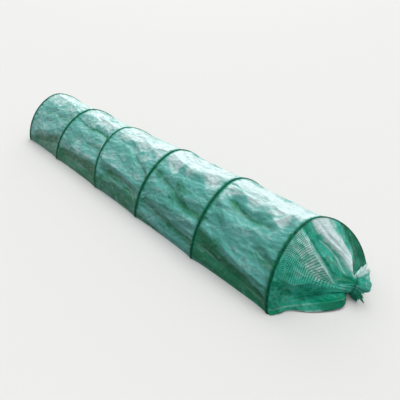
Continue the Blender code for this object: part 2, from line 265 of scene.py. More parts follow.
world = bpy.data.worlds.new("sky")
world.use_nodes = True
bpy.context.scene.world = world
tree = world.node_tree
seen, _ = seen_by_camera(tree)
strength = math_of(tree, "MULTIPLY_ADD", seen, 1 - SKY_LIGHT, SKY_LIGHT)
set_inputs(tree, tree.nodes["Background"], {"Color": SKY_COLOUR, "Strength": strength})

SUNS = {
    "high_sky": (SUN_LIGHT, (-0.10, 0.40, 1.0)),
    "back_sky": (BACK_LIGHT, (-0.73, 0.61, 0.42)),
    "front_sky": (FRONT_LIGHT, (0.90, -0.35, 0.70)),
}
for name, (energy, way) in SUNS.items():
    sun = add_object(name, bpy.data.lights.new(name, "SUN"))
    sun.data.energy = energy
    sun.data.angle = math.radians(SUN_SPREAD_DEGREES)
    sun.rotation_euler = Vector(way).to_track_quat("Z", "Y").to_euler()
bpy.context.scene.view_settings.view_transform = "Standard"
print("light:", SUN_LIGHT, "high,", BACK_LIGHT, "from behind,", SKY_LIGHT, "from the sky")

# %% [markdown]
# ## Film folds
# Reinforced film is too stiff to drape. It keeps the creases it was packed with, and where two
# slack areas meet it folds along a straight, sharp line with flat facets either side. So a fold
# here is a line across the film with a tent-shaped profile, peaked at the line. The main folds
# are placed one by one; the smaller creases between them are drawn at random from a fixed seed.
# Each fold also whitens the film a little along its line, partly as bending does to film and
# partly as a painted highlight.

# %% Fold helpers
FOLD_DEPTH = 0.020
FOLD_SHARPNESS = 1.15
CREASE_SHARPNESS = 1.1
WHITE_LINE = 0.0045
TINY = 1e-9


class Folds:
    """Folds gathered on a flat film: the depth, and the whitening with a painted highlight, at each
    point.
    """

    def __init__(self, x, y):
        self.x, self.y = x, y
        self.depth = np.zeros(len(x))
        self.whitening_and_highlight = np.zeros(len(x))

    def add(self, corners, half_width, depth, sharpness=FOLD_SHARPNESS, whitening_and_highlight=1.0):
        """One fold along a line of corners; a ridge has a negative depth."""
        nearest = np.full(self.x.shape, np.inf)
        for (x0, y0), (x1, y1) in zip(corners, corners[1:]):
            dx, dy = x1 - x0, y1 - y0
            part = ((self.x - x0) * dx + (self.y - y0) * dy) / (dx * dx + dy * dy)
            part = np.clip(part, 0, 1)
            away = np.hypot(self.x - x0 - part * dx, self.y - y0 - part * dy)
            nearest = np.minimum(nearest, away)
        self.depth += depth * np.clip(1 - nearest / half_width, 0, 1) ** sharpness
        # Whitening along the fold's line: bending's whitening with a painted highlight on it.
        line = np.exp(-((nearest / WHITE_LINE) ** 2))
        strength = whitening_and_highlight * min(abs(depth) / FOLD_DEPTH, 1)
        self.whitening_and_highlight = np.maximum(self.whitening_and_highlight, line * strength)

    def scatter(self, draw, size, count, length, half_width, depth, slant, whitening_and_highlight=1.0):
        """Creases at random places, mostly along the film; ranges are (least, most)."""
        for _ in range(count):
            x, y = draw.uniform(0, size[0]), draw.uniform(0, size[1])
            turn = math.radians(draw.gauss(0, slant))
            reach = draw.uniform(*length) / 2
            x_step, y_step = math.cos(turn) * reach, math.sin(turn) * reach
            corners = ((x - x_step, y - y_step), (x + x_step, y + y_step))
            deep = draw.uniform(*depth) * draw.choice((-1, 1))
            self.add(corners, draw.uniform(*half_width), deep, CREASE_SHARPNESS, whitening_and_highlight)


def smooth_step(value):
    """0 up to 0, 1 from 1 on, and a smooth step between."""
    value = np.clip(value, 0, 1)
    return value * value * (3 - 2 * value)


def in_metres(corners, size):
    """A fold's corners on the flat film, from their shares of its two sides."""
    return [(out * size[0], round_arch * size[1]) for out, round_arch in corners]


def film_grid(name, columns, rows):
    """A flat grid and the share of each of its points along both sides."""
    shape = bmesh.new()
    bmesh.ops.create_grid(shape, x_segments=columns, y_segments=rows, size=0.5)
    mesh = mesh_of(name, shape)
    flat = np.zeros(len(mesh.vertices) * 3)
    mesh.vertices.foreach_get("co", flat)
    shares = np.clip(flat.reshape(-1, 3)[:, :2] + 0.5, 0, 1)
    return mesh, shares


def outward_normals(points, columns, rows):
    """Unit normals of a grid whose columns run out along the tunnel and rows round the arch."""
    table = points.reshape(rows + 1, columns + 1, 3)
    normal = np.cross(np.gradient(table, axis=1), np.gradient(table, axis=0))
    normal /= np.maximum(np.linalg.norm(normal, axis=-1, keepdims=True), TINY)
    return normal.reshape(-1, 3)


def lay_film(mesh, points, film_place, masks):
    """Move a grid's points into place, with a UV map in metres on the film and named masks."""
    mesh.vertices.foreach_set("co", points.ravel())
    corners = np.zeros(len(mesh.loops), int)
    mesh.loops.foreach_get("vertex_index", corners)
    layer = mesh.uv_layers.new(name="film")
    layer.data.foreach_set("uv", film_place[corners].ravel())
    for label, values in masks.items():
        mask = mesh.attributes.new(label, "FLOAT", "POINT")
        mask.data.foreach_set("value", values)
    mesh.polygons.foreach_set("use_smooth", [True] * len(mesh.polygons))
    mesh.update()
    return add_object(mesh.name, mesh)


# %% [markdown]
# ## The bays
# Between two hoops the film spans from sleeve to sleeve and sags a little. Its folds run mostly
# along the tunnel: a bright ridge along each shoulder, valleys down the side, and a crease low
# down, where the slack film tucks in towards the soil. Each place is a share of the way from the
# far hoop to the near one and from the -Y foot round to the +Y foot, then come the fold's half
# width as a share of the arch and its depth as a share of the fold depth.

# %% Main folds of the bays
BAY_FOLDS = (
    (
        (((0.05, 0.06), (0.30, 0.15), (0.60, 0.17), (0.97, 0.27)), 0.07, -0.7),
        (((0.30, 0.05), (0.60, 0.09), (0.97, 0.14)), 0.07, 0.9),
        (((0.20, 0.29), (0.42, 0.32), (0.60, 0.30), (0.97, 0.34)), 0.05, 0.7),
        (((0.03, 0.50), (0.55, 0.47), (0.97, 0.41)), 0.07, -0.5),
        (((0.35, 0.22), (0.60, 0.26), (0.80, 0.22)), 0.04, 0.4),
        (((0.10, 0.72), (0.90, 0.66)), 0.08, 0.7),
        (((0.20, 0.86), (0.90, 0.84)), 0.08, -0.6),
    ),
    (
        (((0.03, 0.37), (0.35, 0.34), (0.60, 0.36), (0.97, 0.35)), 0.06, 0.8),
        (((0.05, 0.20), (0.50, 0.17), (0.97, 0.18)), 0.07, -0.7),
        (((0.15, 0.08), (0.85, 0.08)), 0.07, 0.8),
        (((0.62, 0.24), (0.97, 0.25)), 0.04, 0.5),
        (((0.40, 0.51), (0.97, 0.44)), 0.06, -0.5),
        (((0.05, 0.45), (0.40, 0.44)), 0.06, -0.4),
        (((0.10, 0.65), (0.90, 0.70)), 0.08, 0.7),
        (((0.30, 0.88), (0.90, 0.84)), 0.08, 0.6),
    ),
    (
        (((0.30, 0.54), (0.60, 0.45), (0.78, 0.43), (0.97, 0.46)), 0.07, -0.6),
        (((0.03, 0.44), (0.50, 0.42)), 0.06, -0.4),
        (((0.03, 0.38), (0.55, 0.37)), 0.05, 0.4),
        (((0.50, 0.35), (0.70, 0.30), (0.97, 0.25)), 0.05, 0.6),
        (((0.10, 0.21), (0.55, 0.20), (0.97, 0.17)), 0.06, -0.5),
        (((0.15, 0.15), (0.55, 0.16), (0.97, 0.13)), 0.06, 0.8),
        (((0.18, 0.10), (0.45, 0.12)), 0.03, -0.4),
        (((0.10, 0.74), (0.90, 0.68)), 0.08, 0.7),
        (((0.20, 0.84), (0.80, 0.88)), 0.08, -0.6),
    ),
    (
        (((0.03, 0.46), (0.35, 0.42), (0.55, 0.41), (0.75, 0.45), (0.97, 0.46)), 0.07, -0.7),
        (((0.10, 0.37), (0.55, 0.36), (0.90, 0.39)), 0.05, 0.4),
        (((0.15, 0.29), (0.45, 0.26), (0.65, 0.22), (0.97, 0.22)), 0.06, 0.8),
        (((0.20, 0.17), (0.60, 0.18), (0.97, 0.18)), 0.05, -0.6),
        (((0.05, 0.12), (0.55, 0.09), (0.97, 0.08)), 0.06, 0.8),
        (((0.10, 0.54), (0.90, 0.56)), 0.07, -0.4),
        (((0.15, 0.64), (0.90, 0.70)), 0.08, 0.6),
        (((0.10, 0.86), (0.90, 0.82)), 0.08, 0.6),
    ),
    (
        (((0.03, 0.46), (0.50, 0.455)), 0.03, 0.5),
        (((0.03, 0.435), (0.97, 0.435)), 0.06, -0.5),
        (((0.03, 0.355), (0.15, 0.31), (0.30, 0.26)), 0.05, -0.6),
        (((0.20, 0.37), (0.45, 0.32), (0.75, 0.33)), 0.05, 0.8),
        (((0.35, 0.26), (0.60, 0.28), (0.88, 0.44)), 0.05, -0.5),
        (((0.03, 0.19), (0.30, 0.17), (0.60, 0.14), (0.97, 0.11)), 0.06, -0.7),
        (((0.05, 0.10), (0.50, 0.07), (0.97, 0.04)), 0.06, 0.8),
        (((0.74, 0.22), (0.97, 0.19)), 0.05, 0.6),
        (((0.10, 0.70), (0.90, 0.66)), 0.08, 0.7),
        (((0.20, 0.84), (0.90, 0.86)), 0.08, -0.5),
    ),
)
print("main folds of the bays:", [len(folds) for folds in BAY_FOLDS])

# %% [markdown]
# ## Where the film is misted, lit and shaded
# Drops hang under the film and turn it pale. They are thickest at the crown, down to a ragged
# line, and a painted highlight of the sky's sheen lies there too. Each bay is clear and dark below
# another line, from the far hoop to the near one, and along streaks, most of them in its fold
# valleys: painted shade. A thin dark line of painted shade lies beside each sleeve. All of this is
# set for each bay as shares of its two sides, because it differs from bay to bay in the photograph.

# %% Misted places
WHITE_FROM_SHARE = 0.33
WHITE_FADE_SHARE = 0.14
WHITE_TEETH = 16
WHITE_TOOTH_SHARE = 0.035
TEETH_SLANT_SHARE = 0.4
TEETH_SEED = 40
SEAM_SHADE_SHARE = 0.85
SEAM_SHADE_REACH = 0.014
CROWN_MIST_AND_SHEEN_SHARES = (0.78, 0.80, 0.84, 0.96, 1.00)
CLEAR_SHADE_AMOUNTS = (0.75, 0.95, 0.65, 0.90, 0.90)
CLEAR_SHADE_FADE_SHARE = 0.03
CLEAR_SHADE_STREAK_AMOUNT = 0.75
BAY_MIST_AND_LIGHT_SHARES = (0.58, 0.58, 0.54, 0.48, 0.46)
CLEAR_SHADE_LINE_SHARES = (
    ((0.0, 0.06), (0.3, 0.12), (0.6, 0.15), (1.0, 0.22)),
    ((0.0, 0.14), (1.0, 0.18)),
    ((0.0, 0.10), (0.3, 0.20), (0.7, 0.18), (1.0, 0.14)),
    ((0.0, 0.06), (0.6, 0.02), (1.0, 0.01)),
    ((0.0, 0.20), (0.5, 0.14), (1.0, 0.09)),
)
CLEAR_SHADE_STREAK_SHARES = (
    (
        (((0.30, 0.29), (0.42, 0.32), (0.60, 0.30), (0.97, 0.31)), 0.030, 0.8),
        (((0.45, 0.38), (0.55, 0.40)), 0.030, 0.4),
    ),
    (
        (((0.03, 0.37), (0.40, 0.34), (0.60, 0.36), (0.97, 0.35)), 0.025, 0.8),
        (((0.62, 0.24), (0.97, 0.25)), 0.030, 0.8),
        (((0.10, 0.22), (0.35, 0.18)), 0.030, 0.5),
    ),
    (
        (((0.50, 0.33), (0.70, 0.30), (0.97, 0.25)), 0.030, 0.5),
        (((0.10, 0.17), (0.60, 0.165), (0.97, 0.15)), 0.045, 0.6),
        (((0.80, 0.40), (0.97, 0.33)), 0.030, 0.3),
    ),
    (
        (((0.10, 0.30), (0.45, 0.26), (0.65, 0.22), (0.97, 0.215)), 0.045, 0.8),
        (((0.45, 0.30), (0.95, 0.27)), 0.030, 0.4),
        (((0.05, 0.13), (0.40, 0.10), (0.60, 0.09), (0.97, 0.08)), 0.040, 0.8),
    ),
    (
        (((0.18, 0.37), (0.35, 0.335), (0.75, 0.33)), 0.040, 0.7),
        (((0.72, 0.22), (0.97, 0.19)), 0.050, 0.7),
        (((0.03, 0.455), (0.50, 0.450)), 0.012, 0.9),
        (((0.62, 0.36), (0.88, 0.44)), 0.020, 0.4),
    ),
)
print("clear streaks of the bays:", [len(streaks) for streaks in CLEAR_SHADE_STREAK_SHARES])

# %% [markdown]
# ## Bay film
# Each bay is one sheet with its folds pressed into it, tucked under the sleeves on both hoops.
# Next to the main folds it has soft creases, fine ones, and short puckers at the sleeves, where
# the seams gather the film. The doubled hem is stiffer, so the folds die out towards it.

# %% Bay film
BAY_GRID = (150, 270)
BAY_SIZE = (SPACING, ARCH_LENGTH)
FILM_TUCK = 0.007
FILM_SAG = 0.009
FILM_THICKNESS = 0.0004
FOLD_SEED = 100
FOLD_FADE_SHARE = 0.10
FOLD_WIDTH_SHARE = 0.8
FOLD_WHITE = 0.6
SOFT_CREASES = dict(count=16, length=(0.15, 0.50), half_width=(0.030, 0.060),
                    depth=(0.0015, 0.0045), slant=14, whitening_and_highlight=2.0)
FINE_CREASES = dict(count=190, length=(0.02, 0.10), half_width=(0.009, 0.020),
                    depth=(0.0012, 0.0036), slant=30, whitening_and_highlight=1.8)
PUCKERS = 46
PUCKER_REACH = (0.02, 0.09)
PUCKER_DRIFT = 0.02
PUCKER_DEPTH = (0.0006, 0.0020)
PUCKER_HALF_WIDTH = (0.006, 0.014)
PUCKER_WHITE = 3.0
PUCKER_FADE_SHARE = 0.015
HEM_WIDTH = 0.018
HEM_EDGE = 0.003
HEM_FADE = 0.096
HEM_FOLD_SHARE = 0.35
BAY_NET_SHARE = 0.30


def add_thickness(film):
    """Give the film its two faces."""
    wall = film.modifiers.new("thickness", "SOLIDIFY")
    wall.thickness = FILM_THICKNESS
    wall.offset = 0


def bay_mist_light_and_shade(bay, along, round_arch):
    """Mist and painted light: 0 is clear film in painted shade, a half is the usual film, 1 is white.
    """
    lower = np.minimum(round_arch, 1 - round_arch)
    draw = random.Random(TEETH_SEED + bay)
    pitch = (1 + TEETH_SLANT_SHARE) / WHITE_TEETH
    places = [(tooth + draw.uniform(0.1, 0.9)) * pitch for tooth in range(WHITE_TEETH)]
    teeth = [draw.uniform(-1, 1) * WHITE_TOOTH_SHARE for _ in places]
    slanted = along + round_arch * TEETH_SLANT_SHARE
    white_from = WHITE_FROM_SHARE + np.interp(slanted, places, teeth)
    # Drops with a painted highlight: paler towards the crown, above a ragged line.
    crown = smooth_step((lower - white_from) / WHITE_FADE_SHARE)
    usual, crowning = BAY_MIST_AND_LIGHT_SHARES[bay - 1], CROWN_MIST_AND_SHEEN_SHARES[bay - 1]
    mist_light_and_shade = usual + crown * (crowning - usual)
    where, height = zip(*CLEAR_SHADE_LINE_SHARES[bay - 1])
    line = np.interp(along, where, height)
    # Painted shade: the film is clear and dark below the line, beside each sleeve and along the
    # streaks.
    clear = smooth_step((line - lower) / CLEAR_SHADE_FADE_SHARE) * CLEAR_SHADE_AMOUNTS[bay - 1]
    mist_light_and_shade = mist_light_and_shade * (1 - clear)
    beside_sleeve = np.minimum(along, 1 - along) * SPACING
    mist_light_and_shade = mist_light_and_shade * (1 - SEAM_SHADE_SHARE * np.exp(-((beside_sleeve / SEAM_SHADE_REACH) ** 2)))
    for corners, half_width, amount in CLEAR_SHADE_STREAK_SHARES[bay - 1]:
        streak = Folds(along * SPACING, round_arch * ARCH_LENGTH)
        half_width *= ARCH_LENGTH
        streak.add(in_metres(corners, BAY_SIZE), half_width, depth=1.0, sharpness=1.0)
        mist_light_and_shade = mist_light_and_shade * (1 - CLEAR_SHADE_STREAK_AMOUNT * amount * smooth_step(streak.depth))
    return mist_light_and_shade


def add_puckers(folds, draw):
    """Short creases that start at the two sleeves."""
    for sleeve, way in ((0, 1), (SPACING, -1)):
        for _ in range(PUCKERS):
            start = draw.uniform(0, ARCH_LENGTH)
            reach = draw.uniform(*PUCKER_REACH) * way
            end = start + draw.uniform(-PUCKER_DRIFT, PUCKER_DRIFT)
            deep = draw.uniform(*PUCKER_DEPTH) * draw.choice((-1, 1))
            folds.add(((sleeve, start), (sleeve + reach, end)), draw.uniform(*PUCKER_HALF_WIDTH),
                      deep, CREASE_SHARPNESS, PUCKER_WHITE)


def make_bay(bay):
    """The film between two hoops, tucked into the edge of the sleeve on each."""
    mesh, shares = film_grid(f"film_bay_{bay}", *BAY_GRID)
    along, round_arch = shares[:, 0], shares[:, 1]
    far, outwards = arch_points(round_arch, FILM_TUCK)
    near, _ = arch_points(round_arch, -FILM_TUCK)
    far = placed(hoop_matrix(bay), far)
    near = placed(hoop_matrix(bay + 1), near)
    x, y = along * SPACING, round_arch * ARCH_LENGTH
    beside_sleeve = np.minimum(along, 1 - along)
    draw = random.Random(FOLD_SEED + bay)

    folds = Folds(x, y)
    for corners, half_width, depth in BAY_FOLDS[bay - 1]:
        half_width *= ARCH_LENGTH * FOLD_WIDTH_SHARE
        folds.add(in_metres(corners, BAY_SIZE), half_width, depth * FOLD_DEPTH, whitening_and_highlight=FOLD_WHITE)
    folds.scatter(draw, BAY_SIZE, **SOFT_CREASES)
    fine = Folds(x, y)
    fine.scatter(draw, BAY_SIZE, **FINE_CREASES)
    add_puckers(fine, draw)

    depth = folds.depth * smooth_step(beside_sleeve / FOLD_FADE_SHARE)
    depth += fine.depth * smooth_step(beside_sleeve / PUCKER_FADE_SHARE)
    hem = np.minimum(y, ARCH_LENGTH - y)
    depth *= HEM_FOLD_SHARE + (1 - HEM_FOLD_SHARE) * smooth_step(hem / HEM_FADE)
    # The sag is flat in the middle and steep beside the sleeves, so its line is a fourth power.
    depth += FILM_SAG * (1 - (2 * along - 1) ** 4)
    points = far + (near - far) * along[:, None] - outwards * depth[:, None]
    points[:, 2] = np.maximum(points[:, 2], SOIL + FILM_THICKNESS)
    masks = {
        "mist_light_and_shade": bay_mist_light_and_shade(bay, along, round_arch),
        "whitening_and_highlight": np.clip(np.maximum(folds.whitening_and_highlight, fine.whitening_and_highlight), 0, 1),
        "net": np.full(len(x), BAY_NET_SHARE),
        "hem": 1 - smooth_step((hem - HEM_WIDTH) / HEM_EDGE),
    }
    film = lay_film(mesh, points, np.stack([x + bay * SPACING, y], axis=1), masks)
    add_thickness(film)
    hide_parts(f"cover_bay_{bay}")
    return film


bays = {bay: make_bay(bay) for bay in range(1, HOOPS)}
print("bays:", len(bays), "of", len(bays[1].data.polygons), "faces")

# %% [markdown]
# ## The gathered ends
# Past the end hoop the film is drawn in to a neck by a cord and flares out again in a ruffle.
# The folds all run from the hoop to the neck, so each one is a line with three facts: where it
# leaves the arch, where it meets the neck, and four places between them, chosen over the
# photograph. Between two folds the film is a nearly flat facet, which is how stiff film gathers.
# Close to the cord the facets give way to narrow pleats. The far end is hidden in the photograph,
# so it has the same folds.

# %% Gathered end
SKIRT_GRID = (130, 330)
NECK_CENTRE = (0.120, 0.076, 0.058)
NECK_TURN_DEGREES = 45
NECK_DIP_DEGREES = 15
NECK_HALF_WIDTH = 0.032
NECK_HALF_HEIGHT = 0.054
NECK_PLEATS = 13
PLEAT_DRIFT_SHARE = 0.20
PLEAT_DRIFT_RADIANS = 19
FINE_PLEATS = 3
FINE_PLEAT_SHARE = 0.25
NECK_PLEAT_SHARE = 0.40
PLEAT_START_SHARE = 0.50
THROAT_LENGTH = 0.014
THROAT_SPREAD = 0.003
RUFFLE_LENGTH = 0.040
RUFFLE_HALF_WIDTH = 0.088
RUFFLE_HALF_HEIGHT = 0.072
RUFFLE_LIFT = 0.070
RUFFLE_PLEAT_SHARE = 0.34
RUFFLE_WAVES = 5
RUFFLE_WAVE_SHARE = 0.20
RUFFLE_WAVE_START = 1.0
RUFFLE_CURL_SHARE = 0.45
RUFFLE_FLARE_POWER = 0.85
SLEEVE_EDGE = 0.0103
THROAT_ROW_SHARE = 0.80
NECK_ROW_SHARE = 0.84
SKIRT_REACH = 0.42
SKIRT_SIZE = (SKIRT_REACH, ARCH_LENGTH)
STATIONS = 6
# Each fold: its share round the arch, its place on the neck in degrees, and the four places that
# it runs through at the near end, from the middle of the hoop's feet, x outwards.
SKIRT_FOLDS = (
    (0.000, -80, (-0.029, -0.320, 0.001), (0.001, -0.242, 0.003), (0.086, -0.158, 0.004),
     (0.152, -0.037, 0.006)),
    (0.025, -58, (-0.038, -0.291, 0.018), (-0.004, -0.232, 0.024), (0.062, -0.140, 0.032),
     (0.140, -0.029, 0.041)),
    (0.080, -38, (-0.055, -0.270, 0.061), (-0.032, -0.192, 0.035), (0.006, -0.099, 0.022),
     (0.080, -0.012, 0.028)),
    (0.150, -20, (-0.066, -0.249, 0.155), (-0.022, -0.205, 0.124), (0.016, -0.134, 0.114),
     (0.074, -0.028, 0.060)),
    (0.270, 0, (-0.085, -0.163, 0.255), (-0.045, -0.140, 0.210), (0.007, -0.095, 0.143),
     (0.070, -0.010, 0.082)),
    (0.385, 20, (-0.067, -0.075, 0.292), (-0.025, -0.066, 0.237), (0.034, -0.036, 0.150),
     (0.076, 0.002, 0.072)),
    (0.400, 27, (-0.063, -0.046, 0.276), (-0.024, -0.031, 0.215), (0.030, -0.010, 0.135),
     (0.072, 0.014, 0.066)),
    (0.412, 33, (-0.055, -0.042, 0.278), (-0.015, -0.031, 0.226), (0.030, -0.008, 0.163),
     (0.074, 0.022, 0.090)),
    (0.450, 62, (-0.051, 0.012, 0.261), (-0.017, 0.045, 0.218), (0.024, 0.066, 0.168),
     (0.070, 0.072, 0.115)),
    (0.480, 88, (-0.048, 0.024, 0.292), (-0.009, 0.050, 0.248), (0.034, 0.080, 0.197),
     (0.078, 0.096, 0.148)),
    (0.585, 120, (-0.023, 0.090, 0.275), (0.020, 0.122, 0.218), (0.058, 0.136, 0.172),
     (0.088, 0.112, 0.142)),
    (0.700, 160, (0.000, 0.205, 0.190), (0.028, 0.212, 0.135), (0.050, 0.165, 0.110),
     (0.062, 0.117, 0.092)),
    (0.850, 205, (0.030, 0.280, 0.090), (0.046, 0.250, 0.055), (0.052, 0.175, 0.038),
     (0.053, 0.105, 0.034)),
    (1.000, 255, (0.072, 0.305, 0.002), (0.075, 0.235, 0.003), (0.065, 0.150, 0.005),
     (0.062, 0.083, 0.007)),
)
FOLD_PLACES = np.array([fold[0] for fold in SKIRT_FOLDS])
FOLD_ANGLES = np.radians([fold[1] for fold in SKIRT_FOLDS])
END_FRAMES = {
    side: Matrix.Translation(hoop_matrix(hoop).translation) @ Matrix.Rotation(turn, 4, "Z")
    for side, hoop, turn in ((1, HOOPS, 0), (-1, 1, math.pi))
}
neck_turn, neck_dip = math.radians(NECK_TURN_DEGREES), math.radians(NECK_DIP_DEGREES)
NECK_AXIS = np.array([math.cos(neck_turn) * math.cos(neck_dip),
                      math.sin(neck_turn) * math.cos(neck_dip), -math.sin(neck_dip)])
NECK_SIDE = np.array([math.sin(neck_turn), -math.cos(neck_turn), 0.0])
NECK_UP = np.cross(NECK_SIDE, NECK_AXIS)


def neck_points(angle, half_width, half_height, reach=0.0):
    """Points round the neck's axis, in the end's frame."""
    parts = (angle, half_width, half_height, reach)
    angle, half_width, half_height, reach = (np.asarray(v, float)[..., None] for v in parts)
    ring = NECK_SIDE * np.cos(angle) * half_width + NECK_UP * np.sin(angle) * half_height
    return np.array(NECK_CENTRE) + NECK_AXIS * reach + ring


def throat_points(angle, scale=1.0):
    """Points of the slightly wider ring where the folds arrive, just before the cord."""
    half_width = (NECK_HALF_WIDTH + THROAT_SPREAD) * scale
    half_height = (NECK_HALF_HEIGHT + THROAT_SPREAD) * scale
    return neck_points(angle, half_width, half_height, -THROAT_LENGTH)


def smooth_run(points, share):
    """Points on smooth curves through evenly spaced stations; points is station by station."""
    spot = np.clip(share, 0, 1) * (len(points) - 1)
    index = np.minimum(spot.astype(int), len(points) - 2)
    part = (spot - index)[:, None]
    rows = np.arange(len(share))
    before, first, last, after = (
        points[np.clip(index + step, 0, len(points) - 1), rows] for step in (-1, 0, 1, 2)
    )
    curve = 2 * first + (last - before) * part
    curve += (2 * before - 5 * first + 4 * last - after) * part**2
    curve += (3 * first - before - 3 * last + after) * part**3
    return curve / 2


def pleats(shares, depth_share):
    """How far in the pleats draw the film: sharp crests and sharp folds, with fine ones between."""
    drift = PLEAT_DRIFT_SHARE * np.sin(PLEAT_DRIFT_RADIANS * shares)
    main = np.abs((shares * NECK_PLEATS + drift) % 1 * 2 - 1)
    fine = np.abs((shares * NECK_PLEATS * FINE_PLEATS) % 1 * 2 - 1)
    return 1 - depth_share * (main + FINE_PLEAT_SHARE * fine) / (1 + FINE_PLEAT_SHARE)


def end_hoop(side):
    """The end hoop's place in its end's frame."""
    return END_FRAMES[side].inverted() @ hoop_matrix(HOOPS if side > 0 else 1)


def beside_end_hoop(side, round_arch, away):
    """Points round the end hoop, a little way out from it, in the end's frame."""
    share = round_arch if side > 0 else 1 - round_arch
    return placed(end_hoop(side), arch_points(share, side * away)[0])


def straight_runs(side):
    """The straight ways from the hoop to the neck, one for each fold, station by station."""
    feet = beside_end_hoop(side, FOLD_PLACES, SLEEVE_EDGE)
    ends = throat_points(FOLD_ANGLES)
    return np.array([feet + (ends - feet) * part for part in np.linspace(0, 1, STATIONS)])


# How far the near end's folds stand off the straight ways. The far end's stand off as far.
STAND_OFFS = np.zeros((STATIONS, len(SKIRT_FOLDS), 3))
STAND_OFFS[1:-1] = np.array([fold[2:] for fold in SKIRT_FOLDS]).swapaxes(0, 1)
STAND_OFFS[1:-1] -= straight_runs(1)[1:-1]


def ruffle_points(angle, round_arch):
    """The rim of the loose film past the cord, pleated and waved."""
    wave = np.sin(2 * np.pi * RUFFLE_WAVES * round_arch + RUFFLE_WAVE_START)
    width = pleats(round_arch, RUFFLE_PLEAT_SHARE) * (1 + RUFFLE_WAVE_SHARE * wave)
    tall = RUFFLE_HALF_HEIGHT + RUFFLE_LIFT * np.clip(np.sin(angle), 0, 1)
    reach = RUFFLE_LENGTH * (1 - RUFFLE_CURL_SHARE + RUFFLE_CURL_SHARE * width)
    return neck_points(angle, RUFFLE_HALF_WIDTH * width, tall * width, reach)


def skirt_points(side, out, round_arch):
    """The gathered film's points for shares of the way out and round the arch."""
    start = beside_end_hoop(side, round_arch, FILM_TUCK)
    outwards = np.array(end_hoop(side).to_3x3() @ Vector((side, 0, 0)))
    rows = straight_runs(side) + STAND_OFFS
    runs = [[np.interp(round_arch, FOLD_PLACES, row[:, i]) for i in range(3)] for row in rows]
    runs = np.array(runs).swapaxes(1, 2)

    part = out / THROAT_ROW_SHARE
    points = smooth_run(runs, part)
    points += (start - runs[0]) * ((1 - np.clip(part, 0, 1)) ** 2)[:, None]
    angle = np.interp(round_arch, FOLD_PLACES, FOLD_ANGLES)
    gather = np.clip((part - PLEAT_START_SHARE) / (1 - PLEAT_START_SHARE), 0, 1) ** 2
    width = pleats(round_arch, NECK_PLEAT_SHARE)
    throat = throat_points(angle, width)
    points += (throat - runs[-1]) * gather[:, None]
    behind = np.minimum(((points - start) @ outwards), 0)
    points -= outwards * behind[:, None]

    neck = neck_points(angle, NECK_HALF_WIDTH * width, NECK_HALF_HEIGHT * width)
    past = (out - THROAT_ROW_SHARE) / (NECK_ROW_SHARE - THROAT_ROW_SHARE)
    points += (neck - throat) * np.clip(past, 0, 1)[:, None]
    past = np.clip((out - NECK_ROW_SHARE) / (1 - NECK_ROW_SHARE), 0, 1)
    points += (ruffle_points(angle, round_arch) - neck) * (past**RUFFLE_FLARE_POWER)[:, None]
    return points


print("folds of a gathered end:", len(SKIRT_FOLDS))

# %% [markdown]
# ## Gathered film
# The folds differ in how wet they are and in how they face the light, so mist with painted light
# and shade is given fold by fold, by the hoop, by the neck and in the ruffle, and so is a painted
# highlight along a fold's edge. Small creases and painted shade between the pleats come on top.
# The net shows best on the flat panel that faces the photographer.

# %% Gathered film
MIST_AND_LIGHT_BY_HOOP_SHARES = (0.05, 0.08, 0.20, 0.22, 0.66, 0.82, 0.60, 0.20, 0.45, 1.10, 1.05, 0.10,
                       0.02, 0.05)
MIST_AND_LIGHT_BY_NECK_SHARES = (0.05, 0.10, 0.15, 0.50, 0.72, 0.72, 0.75, 0.08, 0.15, 0.95, 1.20, 0.60,
                       0.15, 0.10)
MIST_AND_LIGHT_IN_RUFFLE_SHARES = (0.10, 0.10, 0.15, 0.20, 0.30, 0.40, 0.50, 0.65, 1.00, 1.25, 1.35, 1.20,
                         0.50, 0.15)
RIDGE_SHINE_SHARES = (1.0, 0.3, 0.0, 0.4, 0.0, 0.3, 1.0, 0.0, 1.0, 0.7, 0.9, 0.5, 0.2, 0.0)
RIDGE_LINE = 0.004
RUFFLE_MIST_AND_LIGHT_FADE_SHARE = 0.06
PLEATED_FROM_SHARE = 0.62
PLEATED_FADE_SHARE = 0.16
PLEAT_SHADE_SHARE = 0.50
PLEAT_SHINE_SHARE = 0.80
CREST_FROM_SHARE = 0.7
CREST_FADE_SHARE = 0.3
NET_FROM_SHARE = 0.12
NET_FROM_FADE_SHARE = 0.05
NET_TO_SHARE = 0.40
NET_TO_FADE_SHARE = 0.03
NET_OUT_SHARE = 0.75
NET_OUT_FADE_SHARE = 0.15
LEAST_NET_SHARE = 0.2
HOOP_FADE_SHARE = 0.06
THROAT_FADE_SHARE = 0.3
CREASE_SEED = 7
SKIRT_CREASE_WHITE = 0.3
SMALL_CREASES = dict(count=70, length=(0.04, 0.20), half_width=(0.008, 0.024),
                     depth=(0.0008, 0.0030), slant=14, whitening_and_highlight=2.5)
SKIRT_CREASES = (
    (((0.02, 0.285), (0.14, 0.245), (0.22, 0.173), (0.26, 0.062)), 0.030, 0.5),
    (((0.02, 0.175), (0.06, 0.14), (0.11, 0.095), (0.18, 0.05), (0.24, 0.01)), 0.022, -0.5),
    (((0.02, 0.23), (0.10, 0.20), (0.16, 0.13)), 0.020, -0.3),
    (((0.05, 0.52), (0.30, 0.53), (0.60, 0.54)), 0.025, 0.25),
    (((0.05, 0.66), (0.35, 0.66), (0.60, 0.70)), 0.020, -0.35),
)


